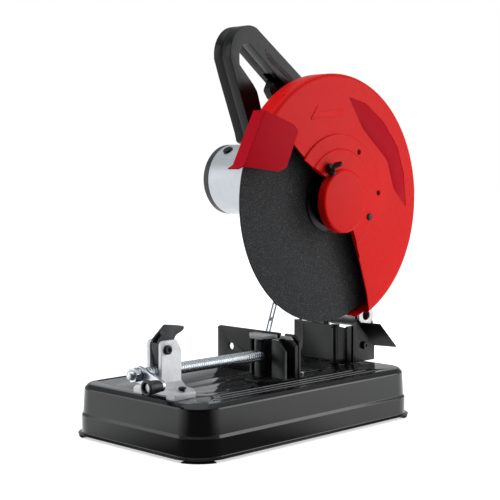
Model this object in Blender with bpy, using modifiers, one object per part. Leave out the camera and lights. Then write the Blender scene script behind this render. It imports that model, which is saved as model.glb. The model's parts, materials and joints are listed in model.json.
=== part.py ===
"""Bench abrasive chop saw for a 355 mm wheel: pressed base, quick-release vise, sprung swing head."""
import math

import bmesh
import bpy
from mathutils import Matrix, Vector

# Lengths are in millimetres from the centre of the base; finish() turns them into metres and
# moves the whole machine so that the world origin lies under the middle of its bounding box.
SHIFT = (31.8, -17.457, 2.3)

BASE_X, BASE_Y, BASE_TOP, BASE_CORNER, SHEET = 272.8, 454.6, 70.5, 47.0, 2.0
GAP = 0.3
PIVOT_Y, PIVOT_Z = 211.0, 142.0
HUB_Y, HUB_Z = 110.7, 319.3
MOTOR_Y, MOTOR_Z = 150.0, 348.0
WHEEL_X, WHEEL_THICK, WHEEL_R, WHEEL_BORE = 48.0, 3.0, 177.5, 12.9
GUARD_BACK, GUARD_FACE, GUARD_R = 40.0, 73.4, 183.4
SCREW_X, SCREW_Z, SCREW_R = 34.0, 103.6, 8.0
SLOT_LOW, SLOT_HIGH = 43.0, 53.0
FENCE_Y, FENCE_TOP = 18.0, 133.0
LEVER_Y, LEVER_Z = -199.0, 133.0
KNOB_X, KNOB_Z, KNOB_FRONT = 75.0, 94.0, -258.8
HANDLE_LOW, HANDLE_HIGH = -39.0, -5.0
MOTOR_R, MOTOR_END = 56.0, -200.0
GEAR_TEETH, PINION_TEETH = 40, 10
SHAFT_R = 11.0
WING_Y, WING_Z = 82.0, 366.5
COVER_SCREW_Y, COVER_SCREW_Z = 174.9, 294.4
LOCK_Y, LOCK_Z, CORD_Z = 42.0, 530.0, 425.0
PANEL = [(37, 538.5), (104, 494.5), (101, 489), (52, 517), (40, 528)]
PANEL_MID = Vector((66.8, 513.4))
CENTRE_LINE = math.atan2(MOTOR_Z - HUB_Z, MOTOR_Y - HUB_Y)
PINION_PHASE = CENTRE_LINE + math.pi + math.pi / PINION_TEETH

VISE_BOLTS = ((-1.5, -192.5), (69.5, -192.5))
FENCE_BOLTS = ((-20.0, 36.0), (66.5, 36.0))
PEDESTAL_BOLTS = ((-38.0, 190.0), (22.0, 190.0))
STOP_BOLT = (24.0, 160.5)
CHAIN_FOOT = (-50.0, 78.0)
PAN_BOLT_HOLES = [(*p, 3.0) for p in VISE_BOLTS + FENCE_BOLTS + PEDESTAL_BOLTS]
BASE_HOLES = PAN_BOLT_HOLES + [(*STOP_BOLT, 4.0), (*CHAIN_FOOT, 2.5), (63.0, -143.0, 2.0)]

AXIS_MAP = {
    "X": Matrix(((0, 0, 1), (1, 0, 0), (0, 1, 0))),
    "Y": Matrix(((1, 0, 0), (0, 0, -1), (0, 1, 0))),
    "Z": Matrix.Identity(3),
}

for old in list(bpy.data.objects):
    bpy.data.objects.remove(old, do_unlink=True)

PARTS = bpy.data.collections.new("abrasive_chop_saw")
CUTTERS = bpy.data.collections.new("cutters")
bpy.context.scene.collection.children.link(PARTS)
bpy.context.scene.collection.children.link(CUTTERS)


# ---------------------------------------------------------------- materials

def material(name, colour, metallic, roughness, coat=0.0):
    mat = bpy.data.materials.new(name)
    mat.use_nodes = True
    shader = mat.node_tree.nodes["Principled BSDF"]
    shader.inputs["Base Color"].default_value = (*colour, 1.0)
    shader.inputs["Metallic"].default_value = metallic
    shader.inputs["Roughness"].default_value = roughness
    shader.inputs["Coat Weight"].default_value = coat
    return mat


BLACK_PAINT = material("black_paint", (0.012, 0.012, 0.014), 0.0, 0.22, 0.6)
MATT_BLACK = material("matt_black_steel", (0.022, 0.022, 0.024), 0.0, 0.45)
RED_PAINT = material("red_paint", (0.80, 0.025, 0.02), 0.0, 0.32, 0.4)
CAST_ALLOY = material("cast_alloy", (0.62, 0.62, 0.60), 0.9, 0.5)
MOTOR_ALLOY = material("motor_alloy", (0.66, 0.69, 0.71), 0.8, 0.35)
ZINC = material("bright_zinc", (0.70, 0.76, 0.80), 1.0, 0.25)
DARK_STEEL = material("dark_steel", (0.10, 0.10, 0.105), 0.9, 0.38)
GREY_PLASTIC = material("grey_plastic", (0.07, 0.075, 0.085), 0.0, 0.4)
BLACK_PLASTIC = material("black_plastic", (0.018, 0.018, 0.02), 0.0, 0.3)
SOFT_GRIP = material("soft_grip", (0.08, 0.08, 0.085), 0.0, 0.7)
RUBBER = material("rubber", (0.02, 0.02, 0.02), 0.0, 0.8)
ABRASIVE = material("abrasive", (0.035, 0.035, 0.037), 0.0, 0.9)
COPPER = material("copper_windings", (0.60, 0.28, 0.12), 1.0, 0.35)
BRUSHED = material("brushed_steel", (0.55, 0.55, 0.55), 1.0, 0.3)


# ---------------------------------------------------------------- shape tools

def adopt(name, bm, mat, cutter=False):
    bmesh.ops.remove_doubles(bm, verts=bm.verts[:], dist=0.01)
    bmesh.ops.recalc_face_normals(bm, faces=bm.faces[:])
    mesh = bpy.data.meshes.new(name)
    bm.to_mesh(mesh)
    bm.free()
    obj = bpy.data.objects.new(name, mesh)
    if mat is not None:
        mesh.materials.append(mat)
    (CUTTERS if cutter else PARTS).objects.link(obj)
    if cutter:
        obj.hide_render = True
        obj.display_type = "WIRE"
    return obj


def arc(cu, cv, r, start, end, steps):
    """Points on an arc, angles in degrees."""
    turn = [math.radians(start + (end - start) * i / steps) for i in range(steps + 1)]
    return [(cu + r * math.cos(t), cv + r * math.sin(t)) for t in turn]


def circle(cu, cv, r, steps=24):
    return arc(cu, cv, r, 0, 360, steps)[:-1]


def rounded(points, radius, steps=3):
    """The outline with each corner replaced by a short arc-like curve."""
    out, n = [], len(points)
    for i, here in enumerate(points):
        r = radius[i] if isinstance(radius, (list, tuple)) else radius
        p, a, b = Vector(here), Vector(points[i - 1]), Vector(points[(i + 1) % n])
        if r <= 0:
            out.append(tuple(p))
            continue
        da, db = (a - p), (b - p)
        half = da.angle(db) / 2
        back = min(r / math.tan(half), 0.45 * da.length, 0.45 * db.length)
        s, e = p + da.normalized() * back, p + db.normalized() * back
        for k in range(steps + 1):
            t = k / steps
            out.append(tuple((1 - t) ** 2 * s + 2 * t * (1 - t) * p + t * t * e))
    return out


def slab(name, outline, axis, low, high, mat, holes=(), cutter=False):
    """A flat outline extruded along a world axis. Outlines are (y, z), (x, z) or (x, y)."""
    curve = bpy.data.curves.new(name, "CURVE")
    curve.dimensions = "2D"
    curve.fill_mode = "BOTH"
    curve.extrude = (high - low) / 2
    for ring in (outline, *holes):
        spline = curve.splines.new("POLY")
        spline.points.add(len(ring) - 1)
        for point, (u, v) in zip(spline.points, ring):
            point.co = (u, v, 0, 1)
        spline.use_cyclic_u = True
    temp = bpy.data.objects.new(name, curve)
    CUTTERS.objects.link(temp)
    bpy.context.view_layer.update()
    mesh = bpy.data.meshes.new_from_object(temp.evaluated_get(bpy.context.evaluated_depsgraph_get()))
    bpy.data.objects.remove(temp)
    bm = bmesh.new()
    bm.from_mesh(mesh)
    mid = (low + high) / 2
    shift = {"X": (mid, 0, 0), "Y": (0, mid, 0), "Z": (0, 0, mid)}[axis]
    bm.transform(Matrix.Translation(shift) @ AXIS_MAP[axis].to_4x4())
    return adopt(name, bm, mat, cutter)


def turned(name, profile, axis, centre, mat, steps=32, cutter=False, sweep=360.0, start=0.0):
    """A closed (radius, position along the axis) outline spun about an axis through centre."""
    bm = bmesh.new()
    verts = [bm.verts.new((r, 0, t)) for r, t in profile]
    edges = [bm.edges.new((a, b)) for a, b in zip(verts, verts[1:] + verts[:1])
             if a.co.x > 1e-6 or b.co.x > 1e-6]
    if sweep < 360:
        bm.faces.new(verts)
        bmesh.ops.rotate(bm, verts=bm.verts[:], matrix=Matrix.Rotation(math.radians(start), 3, "Z"))
    bmesh.ops.spin(bm, geom=verts + edges + bm.faces[:], cent=(0, 0, 0), axis=(0, 0, 1),
                   angle=math.radians(sweep), steps=steps, use_merge=sweep >= 360)
    spin_map = {"X": AXIS_MAP["X"], "Y": Matrix(((0, 1, 0), (0, 0, 1), (1, 0, 0))),
                "Z": AXIS_MAP["Z"]}[axis]
    bm.transform(Matrix.Translation(centre) @ spin_map.to_4x4())
    return adopt(name, bm, mat, cutter)


def rod(name, axis, centre, r, low, high, mat=None, steps=24, cutter=False, chamfer=0.0):
    c = chamfer
    profile = [(0, low), (r - c, low), (r, low + c), (r, high - c), (r - c, high), (0, high)]
    if not c:
        profile = [(0, low), (r, low), (r, high), (0, high)]
    return turned(name, profile, axis, centre, mat, steps, cutter)


def box(name, low, high, mat=None, cutter=False):
    bm = bmesh.new()
    bmesh.ops.create_cube(bm, size=1.0)
    size = [b - a for a, b in zip(low, high)]
    mid = [(a + b) / 2 for a, b in zip(low, high)]
    bm.transform(Matrix.Translation(mid) @ Matrix.Diagonal((*size, 1.0)))
    return adopt(name, bm, mat, cutter)


def hexagon(cu, cv, across, turn=0.0):
    r = across / math.sqrt(3)
    return [(cu + r * math.cos(math.radians(60 * i + turn)), cv + r * math.sin(math.radians(60 * i + turn)))
            for i in range(6)]


def pipe(name, points, radius, mat, resolution=2, cyclic=False):
    """A round bar along a path."""
    curve = bpy.data.curves.new(name, "CURVE")
    curve.dimensions = "3D"
    curve.bevel_depth = radius
    curve.bevel_resolution = resolution
    curve.use_fill_caps = True
    spline = curve.splines.new("POLY")
    spline.points.add(len(points) - 1)
    for point, at in zip(spline.points, points):
        point.co = (*at, 1)
    spline.use_cyclic_u = cyclic
    temp = bpy.data.objects.new(name, curve)
    CUTTERS.objects.link(temp)
    bpy.context.view_layer.update()
    mesh = bpy.data.meshes.new_from_object(temp.evaluated_get(bpy.context.evaluated_depsgraph_get()))
    bpy.data.objects.remove(temp)
    bm = bmesh.new()
    bm.from_mesh(mesh)
    return adopt(name, bm, mat)


def combine(obj, others, operation):
    for other in others:
        if other.name in PARTS.objects:
            PARTS.objects.unlink(other)
            CUTTERS.objects.link(other)
            other.hide_render = True
            other.display_type = "WIRE"
        step = obj.modifiers.new(operation.lower(), "BOOLEAN")
        step.operation, step.solver, step.object = operation, "EXACT", other
    return obj


def cut(obj, *others):
    return combine(obj, others, "DIFFERENCE")


def fuse(obj, *others):
    return combine(obj, others, "UNION")


def bevel(obj, width, segments=1, angle=35):
    step = obj.modifiers.new("bevel", "BEVEL")
    step.width, step.segments, step.limit_method = width, segments, "ANGLE"
    step.angle_limit = math.radians(angle)
    return obj


def bolt(name, x, y, seat, shank_end, r, head_r, head, mat, across=None):
    """Hex bolt along Z, its head resting a hair above the seat."""
    low = seat + 0.05
    head_part = slab(name, hexagon(x, y, across or head_r * 2), "Z", low, low + head, mat)
    shank = rod(name + "_shank", "Z", (x, y, 0), r, shank_end, low + 1, cutter=True, steps=16)
    return fuse(bevel(head_part, 0.4), shank)


# ---------------------------------------------------------------- base

def rounded_rectangle(half_x, half_y, r, steps=5):
    points = []
    for sx, sy, start in ((1, 1, 0), (-1, 1, 90), (-1, -1, 180), (1, -1, 270)):
        points += arc(sx * (half_x - r), sy * (half_y - r), r, start, start + 90, steps)
    return points


def make_base():
    """Deep-drawn pan, open below, with a stepped skirt and an out-turned rim."""
    rings = ((0, 0), (0, 2.4), (5.5, 3.4), (5.2, 28.0), (7.2, 31.5), (9.0, 65.5), (10.4, 69.2),
             (14.0, BASE_TOP))
    bm = bmesh.new()
    loops = []
    for inset, z in rings:
        r = BASE_CORNER - inset
        loops.append([bm.verts.new((u, v, z)) for u, v in
                      rounded_rectangle(BASE_X / 2 - inset, BASE_Y / 2 - inset, r)])
    for lower, upper in zip(loops, loops[1:]):
        for i in range(len(lower)):
            j = (i + 1) % len(lower)
            bm.faces.new((lower[i], lower[j], upper[j], upper[i]))
    bm.faces.new(loops[-1])
    inner = ((6.4, 0), (7.5, 3.4), (7.2, 28.6), (9.2, 32.0), (11.0, 64.8), (12.0, 66.9),
             (15.0, BASE_TOP - SHEET))
    inside = []
    for inset, z in inner:
        r = BASE_CORNER - inset
        inside.append([bm.verts.new((u, v, z)) for u, v in
                       rounded_rectangle(BASE_X / 2 - inset, BASE_Y / 2 - inset, r)])
    for lower, upper in zip(inside, inside[1:]):
        for i in range(len(lower)):
            j = (i + 1) % len(lower)
            bm.faces.new((lower[i], upper[i], upper[j], lower[j]))
    bm.faces.new(inside[-1])
    for i in range(len(inside[0])):
        j = (i + 1) % len(inside[0])
        bm.faces.new((loops[0][j], loops[0][i], inside[0][i], inside[0][j]))
    base = adopt("base_pan", bm, BLACK_PAINT)
    slot = rounded([(SLOT_LOW, -44), (SLOT_HIGH, -44), (SLOT_HIGH, 104), (SLOT_LOW, 104)], 4.9, 3)
    cuts = [slab("slot_wheel", slot, "Z", 60, 80, None, cutter=True)]
    for i, (x0, x1, y0, y1) in enumerate(((-117, -111, -185, 150), (19, 21.5, -186, 0),
                                          (82, 88, -152, 136), (94, 100, -162, 152),
                                          (105, 110, -170, 160))):
        groove = rounded([(x0, y0), (x1, y0), (x1, y1), (x0, y1)], (x1 - x0) * 0.45, 2)
        cuts.append(slab(f"groove_{i}", groove, "Z", BASE_TOP - 0.9, 80, None, cutter=True))
    for x, y, r in BASE_HOLES:
        cuts.append(rod(f"base_hole_{x:.0f}_{y:.0f}", "Z", (x, y, 0), r + GAP, 60, 80, cutter=True, steps=16))
    cut(base, *cuts)
    return base


def make_feet():
    """Rubber corner pads hooked round the rim of the pan."""
    for name, sx, sy, start in (("foot_front_left", -1, -1, 195), ("foot_front_right", 1, -1, 285),
                                ("foot_rear_left", -1, 1, 105), ("foot_rear_right", 1, 1, 15)):
        profile = [(33, -2.3), (45.5, -2.3), (46, -GAP), (39.4, -GAP), (38.2, 4), (38.2, 14), (33, 14)]
        centre = (sx * (BASE_X / 2 - BASE_CORNER), sy * (BASE_Y / 2 - BASE_CORNER), 0)
        turned(name, profile, "Z", centre, RUBBER, 8, sweep=60, start=start)


def make_fence():
    """Two-piece steel angle behind the work, with a gap for the wheel."""
    z0 = BASE_TOP + GAP
    left = [(-84, z0), (SLOT_LOW, z0), (SLOT_LOW, FENCE_TOP), (-80, FENCE_TOP), (-84, FENCE_TOP - 2)]
    right = [(SLOT_HIGH, z0), (80, z0), (80, FENCE_TOP - 10), (70, FENCE_TOP), (SLOT_HIGH, FENCE_TOP)]
    hole = [circle(-56, 104, 5.2, 20)]
    for name, outline, holes, x0, x1 in (("fence_left", left, hole, -84, SLOT_LOW),
                                         ("fence_right", right, (), SLOT_HIGH, 80)):
        plate = slab(name, outline, "Y", FENCE_Y, FENCE_Y + 4, MATT_BLACK, holes)
        foot = box(name + "_foot", (x0, FENCE_Y + 2, z0), (x1, FENCE_Y + 32, z0 + 3.5))
        fuse(plate, foot)
        cut(plate, *[rod(f"{name}_hole_{x:.0f}", "Z", (x, y, 0), 3.0 + GAP, 60, 90, cutter=True, steps=16)
                     for x, y in FENCE_BOLTS if x0 < x < x1])
    for i, (x, y) in enumerate(FENCE_BOLTS):
        bolt(("fence_bolt_left", "fence_bolt_right")[i], x, y, z0 + 3.5, 64, 3.0, 5.5, 4.0, ZINC)


def make_vise_bracket():
    """Cast clevis that carries the screw and the release lever."""
    z0 = BASE_TOP + GAP
    plates = []
    side = rounded([(-209, z0 + 8), (-209, 145), (-183, 145), (-175, 132), (-175, z0 + 8)],
                   [0, 7, 2, 2, 0], 3)
    hole = circle(LEVER_Y, LEVER_Z, 4.0 + GAP, 20)
    for i, (x0, x1) in enumerate(((19.5, 25.5), (42.5, 48.5))):
        plates.append(slab(f"plate_{i}", side, "X", x0, x1, CAST_ALLOY, [hole]))
    bracket = plates[0]
    bracket.name = "vise_bracket"
    foot = [(-7, z0), (75, z0), (75, z0 + 8), (70, z0 + 11.5), (57, z0 + 12.5), (48, z0 + 20),
        (20, z0 + 20),
            (11, z0 + 12.5), (-2, z0 + 11.5), (-7, z0 + 8)]
    saddle = [(20, z0 + 6), (48, z0 + 6), (48, 101), (20, 101)]
    fuse(bracket, plates[1], slab("bracket_foot", foot, "Y", -210, -174, None),
         slab("bracket_saddle", saddle, "Y", -206, -178, None))
    bore = rod("screw_bore", "Y", (SCREW_X, 0, SCREW_Z), SCREW_R + GAP, -230, -150, cutter=True, steps=24)
    cut(bracket, bore,
        box("foot_arch", (10, -240, 60), (58, -140, z0 + 5), cutter=True),
        *[rod(f"foot_hole_{x:.0f}", "Z", (x, y, 0), 3.0 + GAP, 60, 100, cutter=True, steps=16)
          for x, y in VISE_BOLTS])
    for name, (x, y) in zip(("bracket_bolt_left", "bracket_bolt_right"), VISE_BOLTS):
        top = z0 + 12.3
        screw = turned(name, [(0, 64), (3, 64), (3, top + 0.4), (5.2, top + 0.4), (5.2, top + 2.4),
                              (4.2, top + 3.4), (0, top + 3.4)], "Z", (x, y, 0), DARK_STEEL, 20)
        cut(screw, slab(name + "_socket", hexagon(x, y, 4), "Z", top + 1.2, top + 9, None, cutter=True))


def make_lever():
    """Quick-release half-nut lever between the bracket plates, and its cross pin."""
    pin = turned("lever_pin", [(0, 17.2), (4.0, 17.2), (4.0, 48.9), (6.2, 48.9), (6.2, 51.0),
                               (5.4, 51.8), (0, 51.8)], "X", (0, LEVER_Y, LEVER_Z), DARK_STEEL, 24)
    cut(pin, slab("pin_socket", hexagon(LEVER_Y, LEVER_Z, 5), "X", 49.6, 60, None, cutter=True))
    outline = rounded([(-203, 109), (-195, 109), (-189, 132), (-178, 149.5), (-166, 154.5), (-163.5, 157.5),
                       (-164.5, 160.5), (-186, 163), (-207, 145.5), (-208, 134)],
                      [0, 0, 8, 8, 1, 1, 1, 3, 4, 6], 2)
    lever = slab("release_lever", outline, "X", 26.0, 42.0, GREY_PLASTIC)
    cut(lever, rod("lever_bore", "X", (0, LEVER_Y, LEVER_Z), 4.0 + GAP, 10, 60, cutter=True, steps=20),
        rod("half_nut", "Y", (SCREW_X, 0, SCREW_Z), SCREW_R + 0.8, -240, -150, cutter=True),
        box("lever_relief", (29.5, -240, 141), (38.5, -196, 170), cutter=True))


def make_screw():
    """Vise screw, crank arm, its locknut, the knob and the stud it turns on."""
    nose = 8.2
    profile = [(0, -252), (5.0, -252), (6.0, -251), (6.0, -231.5), (7.2, -231.5), (SCREW_R, -230.5),
               (SCREW_R, nose - 16), (5.4, nose - 16), (5.4, nose - 11), (SCREW_R, nose - 11),
               (SCREW_R, nose - 5.5), (7.0, nose - 4.5), (0, nose - 4.5)]
    turned("vise_screw", profile, "Y", (SCREW_X, 0, SCREW_Z), ZINC, 20)
    drop = KNOB_Z - SCREW_Z
    tilt = math.degrees(math.atan2(drop, KNOB_X - SCREW_X))
    ends = (arc(SCREW_X, SCREW_Z, 11.0, tilt + 90, tilt + 270, 8)
            + arc(KNOB_X, KNOB_Z, 7.5, tilt - 90, tilt + 90, 8))
    slab("crank_arm", ends, "Y", -236.4, -232.0, ZINC,
         [circle(SCREW_X, SCREW_Z, 6.0 + GAP, 24), circle(KNOB_X, KNOB_Z, 3.0 + GAP, 16)])
    nut = slab("crank_nut", hexagon(SCREW_X, SCREW_Z, 18, 12), "Y", -246.7, -236.7, ZINC,
               [circle(SCREW_X, SCREW_Z, 6.0 + GAP, 24)])
    bevel(nut, 0.7)
    stud = [(0, -255.5), (5.4, -255.5), (6.0, -254.9), (6.0, -252.6), (3.0, -252.6), (3.0, -229), (0, -229)]
    turned("knob_stud", stud, "Y", (KNOB_X, 0, KNOB_Z), BRUSHED, 20)
    knob = [(3.4, -252.2), (6.6, -252.2), (6.6, KNOB_FRONT), (9.0, KNOB_FRONT), (10.2, -257.6),
            (10.2, -254.0), (8.8, -251.8), (8.4, -243.0), (8.0, -238.0), (6.2, -236.9), (3.4, -236.9)]
    turned("crank_knob", knob, "Y", (KNOB_X, 0, KNOB_Z), GREY_PLASTIC, 18)


def make_jaw():
    """Sliding jaw: two faces either side of the wheel path on one slotted foot."""
    z0 = BASE_TOP + GAP
    left = [(0, z0), (SLOT_LOW, z0), (SLOT_LOW, 131), (0, 131)]
    right = [(SLOT_HIGH, z0), (82, z0), (82, 119), (70, 131), (SLOT_HIGH, 131)]
    apron = [(SLOT_HIGH, z0), (78, z0), (78, 112), (63, 127.5), (SLOT_HIGH, 127.5)]
    foot = [(0.2, 12), (0.2, 0), (14, -16), (28, -30), (34, -43.5), (60, -43.5), (70, -32),
        (81, -14), (81, 12)]
    brim = [(0.2, 13), (0.2, 1), (9, -9), (22, -20), (SLOT_LOW, -20), (SLOT_LOW, 13)]
    nose = arc(SCREW_X - 1, -4, 13, 180, 360, 12) + [(SCREW_X + 12, 10), (SCREW_X - 14, 10)]
    side = [(-8, z0), (13, z0), (13, 127.5), (-8, 127.5)]
    wing = [(-2, z0), (10, z0), (10, 130), (-2, 130)]
    jaw = slab("jaw", left, "Y", 8.5, 13.5, MATT_BLACK)
    fuse(jaw, slab("jaw_foot", foot, "Z", z0, z0 + 3.2, None),
         slab("jaw_right", right, "Y", 8.5, 13.5, None),
         slab("jaw_apron", apron, "Y", -8.3, -4.3, None),
         slab("jaw_boss", nose, "Z", z0, 129, None),
         slab("jaw_brim", brim, "Z", 127.3, 131.2, None),
         slab("jaw_side", side, "X", SLOT_HIGH, SLOT_HIGH + 4, None),
         slab("jaw_wing", wing, "X", 3, 7, None))
    pocket = [(0, -40), (8.3, -40), (8.3, -7.5), (5.8, -7.5), (5.8, -3.1), (8.3, -3.1),
        (8.3, 4.2), (0, 4.2)]
    cut(jaw, box("jaw_slot", (SLOT_LOW, -38, 60), (SLOT_HIGH, 30, 140), cutter=True),
        turned("nose_pocket", pocket, "Y", (SCREW_X, 0, SCREW_Z), None, 32, cutter=True))


# ---------------------------------------------------------------- pivot

def make_pedestal():
    """Folded steel pedestal, its bolts, the depth-stop bolt and the spark plate."""
    z0 = BASE_TOP + GAP
    cheek = [(171, z0), (233, z0), (233, 128), (222, 158), (200, 158), (193, 127), (171, 127)]
    side = rounded(cheek, [0, 0, 3, 8, 8, 3, 3], 2)
    left = slab("rear_pedestal", side, "X", -53, -49.5, MATT_BLACK)
    lip = box("pedestal_lip", (-69.9, 171.3, z0), (-66.4, 186, 128.5))
    right = slab("pedestal_right", side, "X", 35.5, 39.0, None)
    front = slab("pedestal_front", [(-69.8, z0 + 0.1), (38.8, z0 + 0.1), (38.8, 124), (10, 126.5),
                                    (-69.8, 128.9)], "Y", 171.2, 174.5, None)
    floor = box("pedestal_floor", (-52.9, 171.1, z0), (38.9, 232.5, z0 + 3.5))
    fuse(left, front, right, floor, lip)
    cut(left, rod("shaft_bore", "X", (0, PIVOT_Y, PIVOT_Z), SHAFT_R + GAP, -70, 60, cutter=True),
        rod("plate_bore", "X", (0, 208.5, 95), 3.0 + GAP, 30, 60, cutter=True, steps=16),
        *[rod(f"pedestal_hole_{x:.0f}", "Z", (x, y, 0), 3.0 + GAP, 60, 90, cutter=True, steps=16)
          for x, y in PEDESTAL_BOLTS])
    for name, (x, y) in zip(("pedestal_bolt_left", "pedestal_bolt_right"), PEDESTAL_BOLTS):
        bolt(name, x, y, z0 + 3.5, 64, 3.0, 5.5, 4.0, ZINC)
    x, y = STOP_BOLT
    stop = bolt("depth_stop_bolt", x, y, 125.5, 60, 4.0, 6.5, 5.0, DARK_STEEL)
    fuse(stop, slab("stop_nut", hexagon(x, y, 13), "Z", z0, z0 + 6, None))
    flat = [(183, z0), (234, z0), (234, 93), (193, 132), (183, 132)]
    plate = slab("spark_plate", flat, "X", 39.3, 41.3, MATT_BLACK)
    bm = bmesh.new()
    a, b = Vector((40.0, 193.4, 132.6)), Vector((40.0, 233.8, 94.2))
    out, thick = Vector((29.0, 20.0, -2.0)), Vector((0.9, -1.0, -1.4))
    rows = [[p, p + out] for p in (a, b)]
    low = [bm.verts.new(p) for row in rows for p in row]
    top = [bm.verts.new(Vector(v.co) + thick) for v in low]
    for quad in ((0, 1, 3, 2), (4, 6, 7, 5)):
        bm.faces.new([(low + top)[i] for i in quad])
    for i, j in ((0, 1), (1, 3), (3, 2), (2, 0)):
        bm.faces.new((low[j], low[i], top[i], top[j]))
    bmesh.ops.translate(bm, verts=bm.verts[:], vec=(0, -0.2, -0.3))
    fuse(plate, adopt("spark_flare", bm, None))
    cut(plate, rod("plate_hole", "X", (0, 208.5, 95), 3.0 + GAP, 30, 60, cutter=True, steps=16))
    screw = turned("spark_plate_bolt", [(0, 32), (3, 32), (3, 41.6), (5.6, 41.6), (5.6, 45.0),
                                        (4.8, 45.9), (0, 45.9)], "X", (0, 208.5, 95), DARK_STEEL, 20)
    cut(screw, slab("plate_socket", hexagon(208.5, 95, 4.5), "X", 43.2, 60, None, cutter=True))


def make_pivot():
    """Cross shaft with its nut, the torsion spring round it and the lock-down chain."""
    turned("pivot_shaft", [(7.5, -62), (SHAFT_R, -62), (SHAFT_R, 39.3), (17.0, 39.3), (18.0, 40.3),
                           (18.0, 42.5), (17.0, 43.5), (8.6, 43.5), (7.5, 42.4)],
           "X", (0, PIVOT_Y, PIVOT_Z), BRUSHED, 20)
    nut = slab("pivot_nut", hexagon(PIVOT_Y, PIVOT_Z, 30), "X", -60.5, -53.4, ZINC,
               [circle(PIVOT_Y, PIVOT_Z, SHAFT_R + GAP, 24)])
    bevel(nut, 0.8)
    coil, turns, r = [], 3.6, 14.5
    coil.append((-46.8, PIVOT_Y + r - 1, 82.0))
    steps = int(turns * 9)
    for i in range(steps + 1):
        t = math.radians(40 * i)
        coil.append((-46.5 + 18.5 * i / steps, PIVOT_Y + r * math.cos(t), PIVOT_Z + r * math.sin(t)))
    pipe("return_spring", coil, 1.8, DARK_STEEL, 1)
    x, y = CHAIN_FOOT
    stud = [(0, 64), (2.5, 64), (2.5, BASE_TOP + 0.4), (7, BASE_TOP + 0.4), (7, BASE_TOP + 2.2),
            (3.4, BASE_TOP + 3.6), (3.4, 80), (0, 80)]
    ring = [(5.2, -1.8), (9.0, -1.8), (9.0, 1.8), (5.2, 1.8)]
    fuse(turned("chain_anchor", stud, "Z", (x, y, 0), ZINC, 12),
         turned("chain_eye", ring, "X", (x, y, 84.5), None, 14))
    pipe("lock_chain", [(x, y + 3.5, 95.4), (x, 131.0, 229.0)], 2.6, ZINC, 1)


# ---------------------------------------------------------------- head

def make_arm():
    """Cast swing arm: pivot barrel, web up to the gearbox, stop lug and chain lug."""
    barrel = rod("swing_arm", "X", (0, PIVOT_Y, PIVOT_Z), 19.0, -24.0, 35.2, CAST_ALLOY, 32, chamfer=1.2)
    beam = rounded([(196, 140), (226, 150), (205, 215), (178, 285), (112, 275), (118, 232), (160, 200)],
                   [4, 6, 20, 4, 4, 14, 14], 3)
    web = slab("arm_web", beam, "X", -22, 18, None)
    lug = slab("arm_stop", [(158, 160.5), (174, 152), (204, 146), (204, 170), (170, 182)], "X", 0, 18, None)
    hook = rod("arm_hook", "X", (0, 134, 236), 5.0, -55, -16, steps=16)
    head = rod("arm_hook_head", "X", (0, 134, 236), 8.0, -57, -53.5, steps=16)
    fuse(barrel, web, lug, hook, head)
    cut(barrel, rod("barrel_bore", "X", (0, PIVOT_Y, PIVOT_Z), SHAFT_R + GAP, -60, 60, cutter=True),
        rod("spring_pocket", "X", (0, PIVOT_Y, PIVOT_Z), 17.0, -60, -21.5, cutter=True),
        slab("gear_trim", gearbox_outline(GAP), "X", -30, 30, None, cutter=True))


def gearbox_outline(grow=0.0):
    """Outline that wraps both shaft centres."""
    points = []
    for cy, cz, r, a0, a1 in ((HUB_Y, HUB_Z, 52 + grow, 126, 306), (MOTOR_Y, MOTOR_Z, 54 + grow, -54, 126)):
        points += arc(cy, cz, r, a0, a1, 11)
    return points


def make_gearbox():
    """Open-fronted gear case and the bearing cover that closes it on the wheel side."""
    case = slab("gear_housing", gearbox_outline(), "X", -44.5, 22.0, CAST_ALLOY)
    saddle = slab("handle_pad", [(70, 345), (200, 345), (196, 412), (64, 392)], "X", -34, -10, None)
    fuse(case, saddle)
    cut(case, slab("gear_cavity", gearbox_outline(-5.0), "X", -12.0, 40, None, cutter=True),
        rod("motor_nose_bore", "X", (0, MOTOR_Y, MOTOR_Z), 8.3, -60, 0, cutter=True, steps=24),
        rod("spindle_rear_bore", "X", (0, HUB_Y, HUB_Z), 9.3, -38, 0, cutter=True, steps=24))
    cover = slab("bearing_cover", gearbox_outline(), "X", 22.3, 28.0, CAST_ALLOY,
                 [circle(HUB_Y, HUB_Z, 14.3, 24)])
    spindle_boss = [(15.5, 20), (30, 20), (26, 36), (15.5, 36)]
    rotor_boss = [(8, 14), (13, 14), (13, 24), (8, 24)]
    fuse(cover, turned("spindle_boss", spindle_boss, "X", (0, HUB_Y, HUB_Z), None, 24),
         turned("rotor_boss", rotor_boss, "X", (0, MOTOR_Y, MOTOR_Z), None, 24))
    cut(cover, rod("rotor_bore", "X", (0, MOTOR_Y, MOTOR_Z), 5.3, 0, 26, cutter=True, steps=16))


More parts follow.
